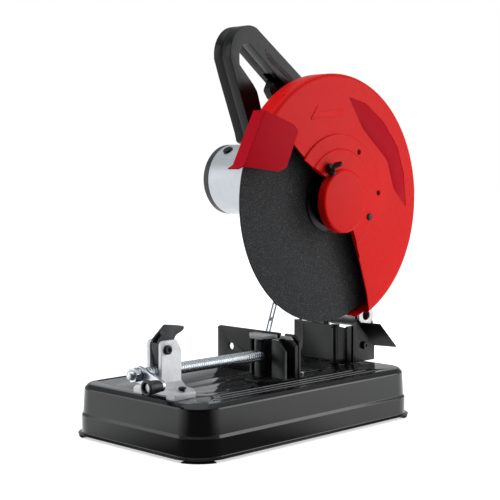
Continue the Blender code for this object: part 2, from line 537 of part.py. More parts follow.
def make_motor():
    """Motor tube, end cap, brush caps, stator, armature with pinion, and fan."""
    tube = turned("motor_housing", [(51.5, -185), (MOTOR_R, -185), (MOTOR_R, -52), (54.5, -46),
                                    (54.5, -44.8), (20, -44.8), (20, -49), (51.5, -52)],
                  "X", (0, MOTOR_Y, MOTOR_Z), MOTOR_ALLOY, 28)
    cap = [(0, MOTOR_END), (50, MOTOR_END), (53, -199), (MOTOR_R, -195), (MOTOR_R, -185.3),
           (51.1, -185.3), (51.1, -178), (47, -178), (45, -192), (13, -192), (13, -184), (6.3, -184),
           (6.3, -194), (0, -194)]
    turned("end_cap", cap, "X", (0, MOTOR_Y, MOTOR_Z), GREY_PLASTIC, 28)
    for name, turn in (("brush_cap_upper", 125), ("brush_cap_lower", 305)):
        t = math.radians(turn)
        direction = Matrix.Rotation(t, 4, "X")
        bore = rod(name + "_bore", "Y", (0, 0, 0), 8.3, 40, 70, cutter=True, steps=20)
        plug = turned(name, [(0, 46), (6, 46), (6, 54), (8, 54), (8, 58.2), (7, 59.2), (0, 59.2)],
                      "Y", (0, 0, 0), BLACK_PLASTIC, 20)
        slot = box(name + "_slot", (-6, 58, -0.8), (6, 62, 0.8), cutter=True)
        for obj in (bore, plug, slot):
            obj.data.transform(Matrix.Translation((-164, MOTOR_Y, MOTOR_Z)) @ direction)
        cut(plug, slot)
        cut(tube, bore)
    for i in range(6):
        t = math.radians(60 * i + 5)
        vent = box(f"vent_{i}", (-72, 44, -6), (-58, 64, 6), cutter=True)
        vent.data.transform(Matrix.Translation((0, MOTOR_Y, MOTOR_Z)) @ Matrix.Rotation(t, 4, "X"))
        cut(tube, vent)
    turned("stator", [(33, -142), (50.7, -142), (50.7, -92), (33, -92), (33, -88), (47, -84), (47, -80),
                      (30.5, -80), (30.5, -154), (47, -154), (47, -150), (33, -146)],
           "X", (0, MOTOR_Y, MOTOR_Z), COPPER, 18)
    teeth = []
    for i in range(PINION_TEETH):
        for k, r in ((-0.30, 7.6), (-0.16, 9.9), (0.16, 9.9), (0.30, 7.6)):
            t = 2 * math.pi * (i + k) / PINION_TEETH + PINION_PHASE
            teeth.append((MOTOR_Y + r * math.cos(t), MOTOR_Z + r * math.sin(t)))
    core = turned("armature", [(0, -193), (6, -193), (6, -176), (18, -176), (18, -158), (8, -158),
                               (8, -144), (30, -144), (30, -90), (8, -90), (8, -30), (5, -10),
                               (5, 22), (0, 22)],
                  "X", (0, MOTOR_Y, MOTOR_Z), BRUSHED, 18)
    fuse(core, slab("pinion", teeth, "X", -8, 12, None))
    profile = [(8.3, -76), (20, -76), (44, -66), (44, -63), (14, -63), (14, -58), (8.3, -58)]
    fan = turned("cooling_fan", profile, "X", (0, MOTOR_Y, MOTOR_Z), GREY_PLASTIC, 24)
    for i in range(6):
        t = math.radians(60 * i + 3)
        blade = box(f"blade_{i}", (-74, 24, -1), (-64, 43.5, 1))
        blade.data.transform(Matrix.Translation((0, MOTOR_Y, MOTOR_Z)) @ Matrix.Rotation(t, 4, "X"))
        fuse(fan, blade)


def make_spindle():
    """Driven gear, spindle, clamp flanges, wheel and wheel bolt."""
    centre = (0, HUB_Y, HUB_Z)
    turned("spindle", [(0, -36), (9, -36), (9, -11), (10, -10), (10, 14), (14, 14), (14, 36.2),
                       (10, 36.2), (10, 50.0), (5.4, 50.0), (5.4, 26), (0, 26)], "X", centre, BRUSHED, 20)
    teeth = []
    for i in range(GEAR_TEETH):
        for k, r in ((-0.30, 36.6), (-0.15, 40.0), (0.15, 40.0), (0.30, 36.6)):
            t = 2 * math.pi * (i + k) / GEAR_TEETH + CENTRE_LINE
            teeth.append((HUB_Y + r * math.cos(t), HUB_Z + r * math.sin(t)))
    slab("driven_gear", teeth, "X", -7, 11, BRUSHED, [circle(HUB_Y, HUB_Z, 10.3, 32)])
    turned("inner_flange", [(10.3, 37), (38, 37), (44, 43), (44, 46.2), (37, 46.2), (37, 45), (12.5, 45),
                            (12.5, 49.2), (10.3, 49.2)], "X", centre, DARK_STEEL, 24)
    low, high = WHEEL_X - WHEEL_THICK / 2, WHEEL_X + WHEEL_THICK / 2
    turned("abrasive_wheel", [(WHEEL_BORE, low), (WHEEL_R, low), (WHEEL_R, high), (WHEEL_BORE, high)],
           "X", centre, ABRASIVE, 64)
    turned("outer_flange", [(5.3, 50.3), (37, 50.3), (37, 49.8), (45, 49.8), (45, 52), (38, 55.5),
                            (24, 55.5), (22, 57.5), (5.3, 57.5)], "X", centre, DARK_STEEL, 24)
    screw = slab("wheel_bolt", hexagon(HUB_Y, HUB_Z, 17), "X", 60.6, 68.0, ZINC)
    washer = [(0, 28), (5, 28), (5, 57.8), (11, 57.8), (11, 60), (8.4, 60.2), (8.4, 61.5), (0, 61.5)]
    fuse(bevel(screw, 0.7), turned("bolt_washer", washer, "X", centre, None, 24))


def make_guard():
    """Upper wheel guard: back wall, rim and right-hand face, open over the centre cover."""
    section = [(GUARD_R - 2, GUARD_BACK + 2), (46, GUARD_BACK + 2), (46, GUARD_BACK),
               (GUARD_R, GUARD_BACK), (GUARD_R, GUARD_FACE - 7), (GUARD_R - 2, GUARD_FACE - 2.2),
               (GUARD_R - 7, GUARD_FACE), (50, GUARD_FACE), (50, GUARD_FACE - 2),
               (GUARD_R - 8, GUARD_FACE - 2), (GUARD_R - 3.4, GUARD_FACE - 3.6),
               (GUARD_R - 2, GUARD_FACE - 7.4)]
    rim = turned("wheel_guard", section, "X", (0, HUB_Y, HUB_Z), RED_PAINT, 28, sweep=212, start=-72)
    fuse(rim, turned("guard_neck", [(46, 28.4), (51, 28.4), (51, GUARD_BACK + 1),
        (46, GUARD_BACK + 1)], "X",
                     (0, HUB_Y, HUB_Z), None, 24))
    trim = [(80.2, 351.8), (6.8, 393.3), (-26, 412), (-150, 330), (60, 250), (HUB_Y, HUB_Z)]
    low_trim = [(HUB_Y, HUB_Z), (138.1, 275.8), (159, 227.5), (176, 180), (184, 140), (178, 110),
                (60, 100), (60, 300)]
    cut(rim, slab("face_trim", trim, "X", GUARD_FACE - 12, GUARD_FACE + 8, None, cutter=True),
        slab("face_trim_low", low_trim, "X", GUARD_FACE - 12, GUARD_FACE + 8, None, cutter=True))
    arrow = [(47, 434), (65, 457), (68, 447), (118, 452), (122, 446), (118, 441), (72, 438)]
    panel = rounded([(131, 470), (170, 462), (212, 436), (246, 400), (262, 360), (269, 306), (237, 336),
                     (222, 378), (163, 425)], [2, 20, 20, 20, 20, 2, 8, 30, 8], 2)
    cut(rim, slab("arrow", arrow, "X", GUARD_FACE - 0.6, GUARD_FACE + 4, None, cutter=True),
        slab("panel", panel, "X", GUARD_FACE - 0.6, GUARD_FACE + 4, None, cutter=True),
        rod("wing_hole", "X", (0, WING_Y, WING_Z), 3.4, 60, 90, cutter=True, steps=16),
        rod("screw_hole", "X", (0, COVER_SCREW_Y, COVER_SCREW_Z), 2.8, 60, 90, cutter=True, steps=16))


def make_cover():
    """Stepped centre cover over the flange and bolt, its screw and the wing bolt."""
    x = GUARD_FACE + GAP
    section = [(0, 84.3), (42, 84.3), (44, 82.3), (44, x), (96, x), (97, x + 1), (96, x + 2.2),
               (76, x + 2.2), (74, x + 4.0), (46.0, x + 4.0), (46, 84.8), (43.5, 86.3), (0, 86.3)]
    cover = turned("centre_cover", section, "X", (0, HUB_Y, HUB_Z), RED_PAINT, 36)
    away = [(6.8, 393.3), (-60, 430), (-60, 150), (172, 150), (159, 227.5), (138.1, 275.8)]
    away += arc(HUB_Y, HUB_Z, 46.4, 302, 133, 20)
    cut(cover, slab("cover_trim", away, "X", x - 2, x + 4.5, None, cutter=True))
    cut(cover, rod("cover_hole_a", "X", (0, 152.4, 390.1), 4.0, 60, 90, cutter=True, steps=16),
        rod("cover_hole_b", "X", (0, 198.2, 329.6), 4.0, 60, 90, cutter=True, steps=16),
        rod("cover_hole_c", "X", (0, WING_Y, WING_Z), 3.4, 60, 90, cutter=True, steps=16),
        rod("cover_hole_d", "X", (0, COVER_SCREW_Y, COVER_SCREW_Z), 2.8, 60, 90, cutter=True, steps=16))
    wing = turned("wing_bolt", [(0, 62), (3, 62), (3, x + 4.4), (7, x + 4.4), (7, x + 11), (5.5, x + 13),
                                (0, x + 13)], "X", (0, WING_Y, WING_Z), DARK_STEEL, 20)
    blade = rounded([(WING_Y - 11, x + 9), (WING_Y + 11, x + 9), (WING_Y + 14, x + 22),
                     (WING_Y + 8, x + 24), (WING_Y, x + 14), (WING_Y - 8, x + 24),
                     (WING_Y - 14, x + 22)], 3, 2)
    fin = slab("wing", [(v, u) for u, v in blade], "Z", WING_Z - 1.8, WING_Z + 1.8, None)
    fin.data.transform(Matrix.Translation((0, WING_Y, WING_Z)) @ Matrix.Rotation(math.radians(40), 4, "X")
                       @ Matrix.Translation((0, -WING_Y, -WING_Z)))
    fuse(wing, fin)
    y, z = COVER_SCREW_Y, COVER_SCREW_Z
    screw = turned("cover_screw", [(0, 66), (2.5, 66), (2.5, x + 4.3), (5.5, x + 4.3), (5.0, x + 6.2),
                                   (3, x + 7), (0, x + 7)], "X", (0, y, z), ZINC, 20)
    cut(screw, box("driver_slot", (x + 5.6, y - 6, z - 0.6), (x + 9, y + 6, z + 0.6), cutter=True))


def make_deflector():
    """Bent front spark deflector that wraps the front of the guard."""
    x = GUARD_FACE + GAP
    face = rounded([(-44.8, 445), (12, 427.5), (21.1, 419.5), (-3, 367.5), (-19.4, 362.4), (-85.2, 369.4)],
                   [0, 6, 4, 6, 4, 0], 3)
    side = slab("spark_deflector", face, "X", x, x + 2.0, RED_PAINT)
    along = Vector((-85.2 + 44.8, 369.4 - 445)).normalized()
    inward = Vector((-along.y, along.x))
    a = Vector((-44.8, 445.0)) - inward * 0.3 - along * 0.5
    b = Vector((-85.2, 369.4)) - inward * 0.3 + along * 0.5
    sheet = [tuple(a), tuple(b), tuple(b + inward * 2), tuple(a + inward * 2)]
    front = slab("deflector_front", sheet, "X", 52.5, x + 1.2, None)
    tip = [(-84.0, 372.0), (-94, 367.4), (-94, 365.6), (-83.2, 370.2)]
    lip = slab("deflector_lip", tip, "X", 53.0, x + 0.8, None)
    fuse(side, front, lip)


def soften(obj, value, width, segments):
    """Round the edges of the face that lies at one x."""
    bm = bmesh.new()
    bm.from_mesh(obj.data)
    edges = [e for e in bm.edges if all(abs(v.co.x - value) < 0.01 for v in e.verts)
             and any(abs(f.normal.x) < 0.5 for f in e.link_faces)]
    bmesh.ops.bevel(bm, geom=edges, offset=width, segments=segments, profile=0.5,
                    affect="EDGES", clamp_overlap=True)
    bmesh.ops.recalc_face_normals(bm, faces=bm.faces[:])
    bm.to_mesh(obj.data)
    bm.free()


def make_handle():
    """Closed loop handle in two shells round a tongue of the gear case, with a grip panel."""
    crown = [(7 + 39 * math.cos(math.radians(t)), 527 + 42 * math.sin(math.radians(t)))
             for t in (188, 168, 148, 128, 109, 90, 70)]
    outer = rounded([(60, 366), (52, 391), (13, 404), (9, 418), (-7, 458), (-22, 495), *crown,
                     (60, 539.5), (113, 503.5), (160, 469), (186, 441), (192, 410), (186, 390)],
                    [0, 6, 7, 0, 0, 0] + [0] * 7 + [0, 0, 40, 24, 14, 0], 2)
    inner = rounded([(-14, 513), (-14, 528), (-7, 541.5), (5, 544), (40, 517.5), (104, 470), (138, 447),
                     (152, 428), (146, 414), (120, 424), (60, 424), (36, 436), (30, 452), (22, 476),
                     (14, 486)],
                    [8, 10, 8, 8, 0, 0, 16, 10, 8, 14, 14, 10, 20, 16, 8], 2)
    trigger_bay = [(48, 474), (124, 425), (146, 462), (131, 479), (84, 509), (58, 508)]
    switch_bay = [(127, 466.5), (148, 448.5), (159.5, 462), (139, 479.5)]
    mid = (HANDLE_LOW + HANDLE_HIGH) / 2
    for name, x0, x1 in (("handle_shell_left", HANDLE_LOW, mid - GAP / 2),
                         ("handle_shell_right", mid + GAP / 2, HANDLE_HIGH)):
        shell = slab(name, outer, "X", x0, x1, BLACK_PLASTIC, [inner])
        soften(shell, x0 if x0 == HANDLE_LOW else x1, 8.0, 2)
        cut(shell, slab(name + "_saddle", gearbox_outline(0.4), "X", -60, 40, None, cutter=True),
            slab(name + "_pad", [(66, 340), (204, 340), (200, 413.2), (62, 392.2)], "X", -34.4, -9.6, None,
                 cutter=True),
            slab(name + "_bay", trigger_bay, "X", -29.5, -14.5, None, cutter=True),
            slab(name + "_switch_bay", switch_bay, "X", -31.3, -12.7, None, cutter=True),
            rod(name + "_cord_bore", "Y", (mid, 0, CORD_Z), 7.8, 176, 210, cutter=True, steps=20))
        if x0 == HANDLE_LOW:
            cut(shell, rod("lock_bore", "X", (0, LOCK_Y, LOCK_Z), 5.3, -60, -23, cutter=True, steps=20))
        else:
            cut(shell, slab("panel_pocket", PANEL, "X", HANDLE_HIGH - 1.5, 10, None, cutter=True))
    pad = [(Vector(p) - PANEL_MID) * 0.97 + PANEL_MID for p in PANEL]
    slab("grip_panel", [tuple(p) for p in pad], "X", HANDLE_HIGH - 1.2, HANDLE_HIGH + 0.4, SOFT_GRIP)


def make_controls():
    """Trigger, lock-off button, switch and cord inlet."""
    outline = rounded([(58, 480), (66, 469), (100, 446), (112, 449), (124, 464), (126, 476), (84, 497),
                       (66, 496)],
                      [4, 4, 6, 4, 4, 3, 4, 4], 2)
    bevel(slab("trigger", outline, "X", -28.8, -15.2, BLACK_PLASTIC), 1.5, 1)
    turned("lock_button", [(0, -43.5), (4, -43.5), (4.9, -42.6), (4.9, -27.5), (0, -27.5)],
           "X", (0, LOCK_Y, LOCK_Z), RED_PAINT, 20)
    slab("switch_box", [(131, 466.5), (147.5, 452.5), (156, 462), (139, 476)], "X", -30.8, -13.2,
         GREY_PLASTIC)
    gland = [(4.2, 181), (7.5, 181), (7.5, 193), (10.5, 193), (10.5, 196), (7, 214), (4.2, 214)]
    turned("cord_gland", gland, "Y", ((HANDLE_LOW + HANDLE_HIGH) / 2, 0, CORD_Z), RUBBER, 20)


def finish(groups):
    """Each joint axis gets an empty, and the machine is moved and scaled into metres."""
    scale = Matrix.Scale(0.001, 4) @ Matrix.Translation(SHIFT)
    anchors = {}
    for name, (origin, parent, _) in groups.items():
        empty = bpy.data.objects.new(name, None)
        PARTS.objects.link(empty)
        at = scale @ Vector(origin)
        anchors[name] = at
        if parent:
            empty.parent = bpy.data.objects[parent]
            empty.location = at - anchors[parent]
        else:
            empty.location = at
    owner = {node: name for name, (_, _, nodes) in groups.items() for node in nodes}
    for obj in list(bpy.data.objects):
        if obj.type != "MESH":
            continue
        obj.data.transform(scale)
        for step in obj.modifiers:
            if step.type == "BEVEL":
                step.width *= 0.001
        name = owner.get(obj.name)
        if name:
            obj.data.transform(Matrix.Translation(-anchors[name]))
            obj.parent = bpy.data.objects[name]


make_base()
make_feet()
make_fence()
make_vise_bracket()
make_lever()
make_screw()
make_jaw()
make_pedestal()
make_pivot()
make_arm()
make_gearbox()
make_motor()
make_spindle()
make_guard()
make_cover()
make_deflector()
make_handle()
make_controls()

finish({
    "jaw_axis": ((SCREW_X, 0, SCREW_Z), None, ["jaw"]),
    "screw_axis": ((SCREW_X, 0, SCREW_Z), "jaw_axis", ["vise_screw", "crank_arm", "crank_nut", "knob_stud"]),
    "knob_axis": ((KNOB_X, -245, KNOB_Z), "screw_axis", ["crank_knob"]),
    "lever_axis": ((SCREW_X, LEVER_Y, LEVER_Z), None, ["release_lever"]),
    "head_axis": ((0, PIVOT_Y, PIVOT_Z), None,
                  ["swing_arm", "gear_housing", "bearing_cover", "motor_housing", "end_cap", "brush_cap_upper",
                   "brush_cap_lower", "stator", "wheel_guard", "centre_cover", "wing_bolt", "cover_screw",
                   "spark_deflector", "handle_shell_left", "handle_shell_right", "grip_panel",
                   "switch_box", "cord_gland"]),
    "spindle_axis": ((0, HUB_Y, HUB_Z), "head_axis",
                     ["spindle", "driven_gear", "inner_flange", "abrasive_wheel", "outer_flange", "wheel_bolt"]),
    "motor_axis": ((0, MOTOR_Y, MOTOR_Z), "head_axis", ["armature", "cooling_fan"]),
    "trigger_axis": ((-22, 116, 472), "head_axis", ["trigger"]),
    "button_axis": ((-43.5, LOCK_Y, LOCK_Z), "head_axis", ["lock_button"]),
})
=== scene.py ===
"""Looks of a bench abrasive chop saw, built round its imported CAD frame."""
import json
import math

import bmesh
import bpy
from mathutils import Matrix, Vector


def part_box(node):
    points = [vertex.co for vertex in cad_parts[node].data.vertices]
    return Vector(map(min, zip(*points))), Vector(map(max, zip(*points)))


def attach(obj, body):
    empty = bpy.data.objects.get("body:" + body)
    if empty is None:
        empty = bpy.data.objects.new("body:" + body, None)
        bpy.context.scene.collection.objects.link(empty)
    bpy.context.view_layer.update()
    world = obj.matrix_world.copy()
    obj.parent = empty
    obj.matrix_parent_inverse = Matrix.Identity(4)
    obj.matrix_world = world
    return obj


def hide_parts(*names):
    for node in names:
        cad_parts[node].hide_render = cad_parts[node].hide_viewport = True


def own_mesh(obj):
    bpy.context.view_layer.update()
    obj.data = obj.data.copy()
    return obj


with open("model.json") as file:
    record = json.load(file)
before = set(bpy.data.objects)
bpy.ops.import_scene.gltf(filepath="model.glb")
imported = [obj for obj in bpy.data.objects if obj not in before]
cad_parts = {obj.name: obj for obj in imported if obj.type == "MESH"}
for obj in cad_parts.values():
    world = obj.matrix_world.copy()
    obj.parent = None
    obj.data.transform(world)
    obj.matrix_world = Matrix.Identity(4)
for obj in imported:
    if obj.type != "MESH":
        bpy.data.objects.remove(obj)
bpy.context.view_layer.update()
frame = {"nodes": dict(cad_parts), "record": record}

# Lengths below are in millimetres from the centre of the pressed base, as the saw is laid out.
pan_low, pan_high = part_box("base_pan")
ORIGIN = Vector(((pan_low.x + pan_high.x) / 2, (pan_low.y + pan_high.y) / 2, pan_low.z))
TO_FRAME = Matrix.Translation(ORIGIN) @ Matrix.Scale(0.001, 4)
GAP = 0.3

BASE_X, BASE_Y, BASE_TOP, BASE_CORNER, SHEET = 272.8, 454.6, 70.5, 47.0, 2.0
SLOT_LOW, SLOT_HIGH = 43.0, 53.0
PIVOT_Y, PIVOT_Z = 211.0, 142.0
HUB_Y, HUB_Z = 110.7, 319.3
MOTOR_Y, MOTOR_Z, MOTOR_R, MOTOR_END = 150.0, 348.0, 56.0, -200.0
WHEEL_X, WHEEL_THICK, WHEEL_R, WHEEL_BORE = 48.0, 3.0, 177.5, 12.9
GUARD_BACK, GUARD_FACE, GUARD_R = 40.0, 73.4, 183.4
SCREW_X, SCREW_Z, SCREW_R, SCREW_PITCH = 34.0, 103.6, 8.0, 4.0
KNOB_X, KNOB_Z, KNOB_FRONT = 75.0, 94.0, -258.8
HANDLE_LOW, HANDLE_HIGH, CORD_Z = -39.0, -5.0, 425.0
WING_Y, WING_Z = 82.0, 366.5
COVER_SCREW_Y, COVER_SCREW_Z = 174.9, 294.4
CHAIN_LOW, CHAIN_HIGH = Vector((-50.0, 81.5, 92.9)), Vector((-50.0, 131.0, 231.0))
CHAIN_LINKS, LINK_WIRE, LINK_BEND = 6, 1.45, 3.4
PAN_HOLES = ((-1.5, -192.5, 3), (69.5, -192.5, 3), (-20, 36, 3), (66.5, 36, 3), (-38, 190, 3), (22, 190, 3),
             (24, 160.5, 4), (-50, 78, 2.5), (63, -143, 2))

CAMERA_AT, CAMERA_AIM = (1.2574, -1.2529, 0.3747), Vector((-0.7021, 0.7087, -0.0701))
LENS, SENSOR = 87.87, 36.0
FRONT = (0.707, -0.707, 0)
FLOOR_R = 14.0

# Turns each axis's flat outline, drawn in x and y, to stand across that axis.
AXIS_MAP = {
    "X": Matrix(((0, 0, 1), (1, 0, 0), (0, 1, 0))),
    "Y": Matrix(((1, 0, 0), (0, 0, -1), (0, 1, 0))),
    "Z": Matrix.Identity(3),
}


# ---------------------------------------------------------------- materials

class Nodes:
    """Short names for building a shader's node tree."""

    def __init__(self, name):
        self.material = bpy.data.materials.new(name)
        self.material.use_nodes = True
        self.tree = self.material.node_tree
        self.shader = self.tree.nodes["Principled BSDF"]
        self.space = self.add("ShaderNodeTexCoord").outputs["Object"]

    def add(self, kind, **values):
        node = self.tree.nodes.new(kind)
        for key, value in values.items():
            setattr(node, key, value)
        return node

    def link(self, out, socket):
        self.tree.links.new(out, socket)

    def stretched(self, scale):
        mapping = self.add("ShaderNodeMapping")
        mapping.inputs["Scale"].default_value = scale
        self.link(self.space, mapping.inputs["Vector"])
        return mapping.outputs["Vector"]

    def noise(self, scale, detail=4.0, rough=0.55, stretch=None):
        node = self.add("ShaderNodeTexNoise")
        node.inputs["Scale"].default_value = scale
        node.inputs["Detail"].default_value = detail
        node.inputs["Roughness"].default_value = rough
        self.link(self.stretched(stretch) if stretch else self.space, node.inputs["Vector"])
        return node.outputs["Fac"]

    def cells(self, scale, feature="F1", randomness=1.0):
        node = self.add("ShaderNodeTexVoronoi", feature=feature)
        node.inputs["Scale"].default_value = scale
        node.inputs["Randomness"].default_value = randomness
        self.link(self.space, node.inputs["Vector"])
        return node.outputs["Distance"]

    def spread(self, out, low, high, to_low=0.0, to_high=1.0):
        node = self.add("ShaderNodeMapRange")
        for name, value in zip(("From Min", "From Max", "To Min", "To Max"), (low, high, to_low, to_high)):
            node.inputs[name].default_value = value
        self.link(out, node.inputs["Value"])
        return node.outputs["Result"]

    def maths(self, operation, a, b):
        node = self.add("ShaderNodeMath", operation=operation)
        for socket, value in zip(node.inputs, (a, b)):
            if isinstance(value, (int, float)):
                socket.default_value = value
            else:
                self.link(value, socket)
        return node.outputs["Value"]

    def mix(self, share, a, b):
        """Colour a where share is 0 and b where it is 1; each is a colour or an output."""
        node = self.add("ShaderNodeMix", data_type="RGBA")
        self.link(share, node.inputs[0])
        for socket, value in ((node.inputs[6], a), (node.inputs[7], b)):
            if isinstance(value, tuple):
                socket.default_value = (*value, 1.0)
            else:
                self.link(value, socket)
        return node.outputs[2]

    def height(self, axis):
        node = self.add("ShaderNodeSeparateXYZ")
        self.link(self.space, node.inputs["Vector"])
        return node.outputs[axis]

    def edges(self, radius, low=0.02, high=0.25):
        """1 along convex and concave edges within radius metres, 0 on the flat."""
        round_off = self.add("ShaderNodeBevel", samples=4)
        round_off.inputs["Radius"].default_value = radius
        flat = self.add("ShaderNodeNewGeometry")
        dot = self.add("ShaderNodeVectorMath", operation="DOT_PRODUCT")
        self.link(round_off.outputs["Normal"], dot.inputs[0])
        self.link(flat.outputs["Normal"], dot.inputs[1])
        return self.spread(dot.outputs["Value"], 1 - low, 1 - high)

    def bump(self, out, distance, strength=1.0):
        node = self.add("ShaderNodeBump")
        node.inputs["Distance"].default_value = distance
        node.inputs["Strength"].default_value = strength
        self.link(out, node.inputs["Height"])
        previous = self.shader.inputs["Normal"].links
        if previous:
            self.link(previous[0].from_socket, node.inputs["Normal"])
        self.link(node.outputs["Normal"], self.shader.inputs["Normal"])

    def base(self, colour, rough, metallic=0.0, specular=0.5):
        """Feeds the shader's main sockets and gives back the finished material."""
        self.shader.inputs["Metallic"].default_value = metallic
        self.shader.inputs["Specular IOR Level"].default_value = specular
        self.link(colour, self.shader.inputs["Base Color"])
        self.link(rough, self.shader.inputs["Roughness"])
        return self.material


def powder_coat(name, colour, deep, rough, orange_peel, edge_wear_and_shade=None, specular=0.5):
    """Paint with a faint orange peel, cloudy depth and uneven gloss; with an edge tint, its edges and creases
    are tinted in patches: worn paint where the tint is lighter, painted shade where it is a darker red.
    """
    n = Nodes(name)
    cloud = n.spread(n.noise(9, 5), 0.3, 0.7)
    tone = n.mix(cloud, colour, deep)
    gloss = n.spread(n.noise(160, 3), 0.35, 0.7, rough * 0.85, rough * 1.25)
    if edge_wear_and_shade:
        # Edge tint in patches along edges and creases: lighter worn paint on the black coat, painted shade as
        # a darker red on the red coat.
        wear_and_shade = n.maths("MULTIPLY", n.edges(0.0011), n.spread(n.noise(210, 6, 0.7), 0.5, 0.62))
        tone = n.mix(n.maths("MULTIPLY", wear_and_shade, edge_wear_and_shade[1]), tone, edge_wear_and_shade[0])
    n.bump(n.noise(orange_peel, 2), 0.00003, 0.4)
    n.bump(n.noise(34, 2), 0.00006, 0.2)
    return n.base(tone, gloss, specular=specular)


def cast_metal(name, colour, shade, grain=900, depth=0.00035, rough=0.5, metallic=0.85):
    """Sand-cast skin: grains, shallow pits and a slightly dirty surface."""
    n = Nodes(name)
    cloud = n.spread(n.noise(22, 6, 0.65), 0.3, 0.72)
    pits = n.spread(n.noise(grain * 0.6, 3, 0.7), 0.25, 0.42)
    tone = n.mix(pits, shade, n.mix(cloud, colour, tuple(0.86 * c for c in colour)))
    edge = n.edges(0.0012)
    tone = n.mix(n.maths("MULTIPLY", edge, 0.5), tone, tuple(min(1, 1.2 * c) for c in colour))
    n.bump(n.noise(grain, 4, 0.7), depth, 0.8)
    n.bump(n.noise(120, 3), depth * 2, 0.35)
    return n.base(tone, n.spread(cloud, 0, 1, rough * 0.85, rough * 1.2), metallic=metallic)


def bright_metal(name, colour, rough, streak=(1, 1, 1), tint=None, depth=0.00004):
    """Plated or ground metal with fine tool lines and a cloudy tarnish."""
    n = Nodes(name)
    cloud = n.spread(n.noise(60, 6, 0.6), 0.32, 0.7)
    tone = n.mix(cloud, colour, tint or tuple(0.8 * c for c in colour))
    lines = n.noise(420, 3, 0.6, stretch=streak)
    n.bump(lines, depth, 0.7)
    gloss = n.maths("ADD", n.spread(lines, 0.3, 0.7, rough * 0.7, rough * 1.1),
                    n.spread(cloud, 0, 1, 0, rough * 0.35))
    return n.base(tone, gloss, metallic=1.0)


def black_steel(name, colour, rough, wear_and_shade, amount):
    """Blackened steel plate: rolled surface, rubbed edges and handling marks."""
    n = Nodes(name)
    cloud = n.spread(n.noise(30, 5), 0.35, 0.7)
    tone = n.mix(cloud, colour, tuple(1.6 * c for c in colour))
    rub = n.maths("MULTIPLY", n.edges(0.0013), n.spread(n.noise(140, 6, 0.75), 0.46, 0.6))
    tone = n.mix(n.maths("MULTIPLY", rub, amount), tone, wear_and_shade)
    scratch = n.spread(n.noise(55, 6, 0.75, stretch=(1, 14, 3)), 0.62, 0.7)
    tone = n.mix(n.maths("MULTIPLY", scratch, 0.06), tone, wear_and_shade)
    n.bump(n.noise(700, 3), 0.00002, 0.5)
    n.bump(n.noise(60, 2), 0.00005, 0.2)
    return n.base(tone, n.spread(cloud, 0, 1, rough * 0.8, rough * 1.2), specular=0.25)


def jaw_steel(name, top):
    """The jaw's black skin, rubbed to bare steel along its upper lip."""
    n = Nodes(name)
    cloud = n.spread(n.noise(34, 5), 0.35, 0.7)
    tone = n.mix(cloud, (0.005, 0.005, 0.006), (0.010, 0.010, 0.011))
    lip = n.spread(n.maths("ADD", n.height("Z"), n.spread(n.noise(240, 5), 0.3, 0.7, -0.0012, 0.0012)),
                   top - 0.0046, top - 0.0036)
    tone = n.mix(n.maths("MULTIPLY", lip, 0.85), tone, (0.36, 0.36, 0.37))
    rub = n.maths("MULTIPLY", n.edges(0.0014), n.spread(n.noise(150, 6, 0.75), 0.42, 0.58))
    tone = n.mix(n.maths("MULTIPLY", rub, 0.55), tone, (0.25, 0.25, 0.25))
    n.bump(n.noise(650, 3), 0.00002, 0.5)
    return n.base(tone, n.spread(cloud, 0, 1, 0.24, 0.36), specular=0.25)


def moulded(name, colour, rough, texture, depth, specular=0.5):
    """Moulded plastic or rubber with a spark-eroded grain."""
    n = Nodes(name)
    cloud = n.spread(n.noise(26, 4), 0.3, 0.7)
    tone = n.mix(cloud, colour, tuple(1.35 * c for c in colour))
    n.bump(n.noise(texture, 2), depth, 0.5)
    n.bump(n.noise(45, 2), 0.00005, 0.2)
    return n.base(tone, n.spread(n.noise(240, 3), 0.3, 0.7, rough * 0.85, rough * 1.2), specular=specular)


def abrasive_face(name):
    """Bonded grit: coarse dark grains and bright specks."""
    n = Nodes(name)
    grit = n.cells(620)
    fine = n.noise(760, 5, 0.85)
    tone = n.mix(n.spread(fine, 0.42, 0.62), (0.006, 0.006, 0.007), (0.075, 0.077, 0.080))
    glint = n.spread(n.cells(430), 0.30, 0.12)
    tone = n.mix(n.maths("MULTIPLY", glint, 0.8), tone, (0.20, 0.205, 0.21))
    tone = n.mix(n.spread(n.noise(38, 5), 0.35, 0.75, 0, 0.25), tone, (0.035, 0.035, 0.038))
    n.bump(grit, 0.0007, 0.9)
    n.bump(fine, 0.0005, 0.8)
    return n.base(tone, n.spread(fine, 0.3, 0.7, 0.62, 0.95), specular=0.35)


def copper_wire(name):
    """Varnished windings: fine parallel strands."""
    n = Nodes(name)
    strands = n.noise(500, 2, 0.5, stretch=(1, 7, 7))
    tone = n.mix(n.spread(strands, 0.35, 0.65), (0.30, 0.11, 0.04), (0.66, 0.30, 0.12))
    n.bump(strands, 0.0003, 0.9)
    return n.base(tone, n.spread(strands, 0.3, 0.7, 0.25, 0.5), metallic=0.9)


def pale_floor(name):
    """White sweep that throws little light back from the strip in front of the saw."""
    n = Nodes(name)
    tone = n.mix(n.spread(n.noise(3, 3), 0.3, 0.7), (0.93, 0.93, 0.93), (0.9, 0.9, 0.9))
    outward = n.add("ShaderNodeVectorMath", operation="NORMALIZE")
    n.link(n.space, outward.inputs[0])
    front = n.add("ShaderNodeVectorMath", operation="DOT_PRODUCT")
    front.inputs[1].default_value = FRONT
    n.link(outward.outputs["Vector"], front.inputs[0])
    lit = n.spread(front.outputs["Value"], 0.35, 0.85, 1.0, 0.04)
    seen = n.maths("MAXIMUM", n.add("ShaderNodeLightPath").outputs["Is Camera Ray"], lit)
    tone = n.mix(seen, (0.03, 0.03, 0.03), tone)
    n.shader.inputs["Emission Color"].default_value = (1, 1, 1, 1)
    n.link(n.maths("MULTIPLY", seen, 0.6), n.shader.inputs["Emission Strength"])
    return n.base(tone, n.spread(n.noise(9, 2), 0.3, 0.7, 0.7, 0.8), specular=0.2)


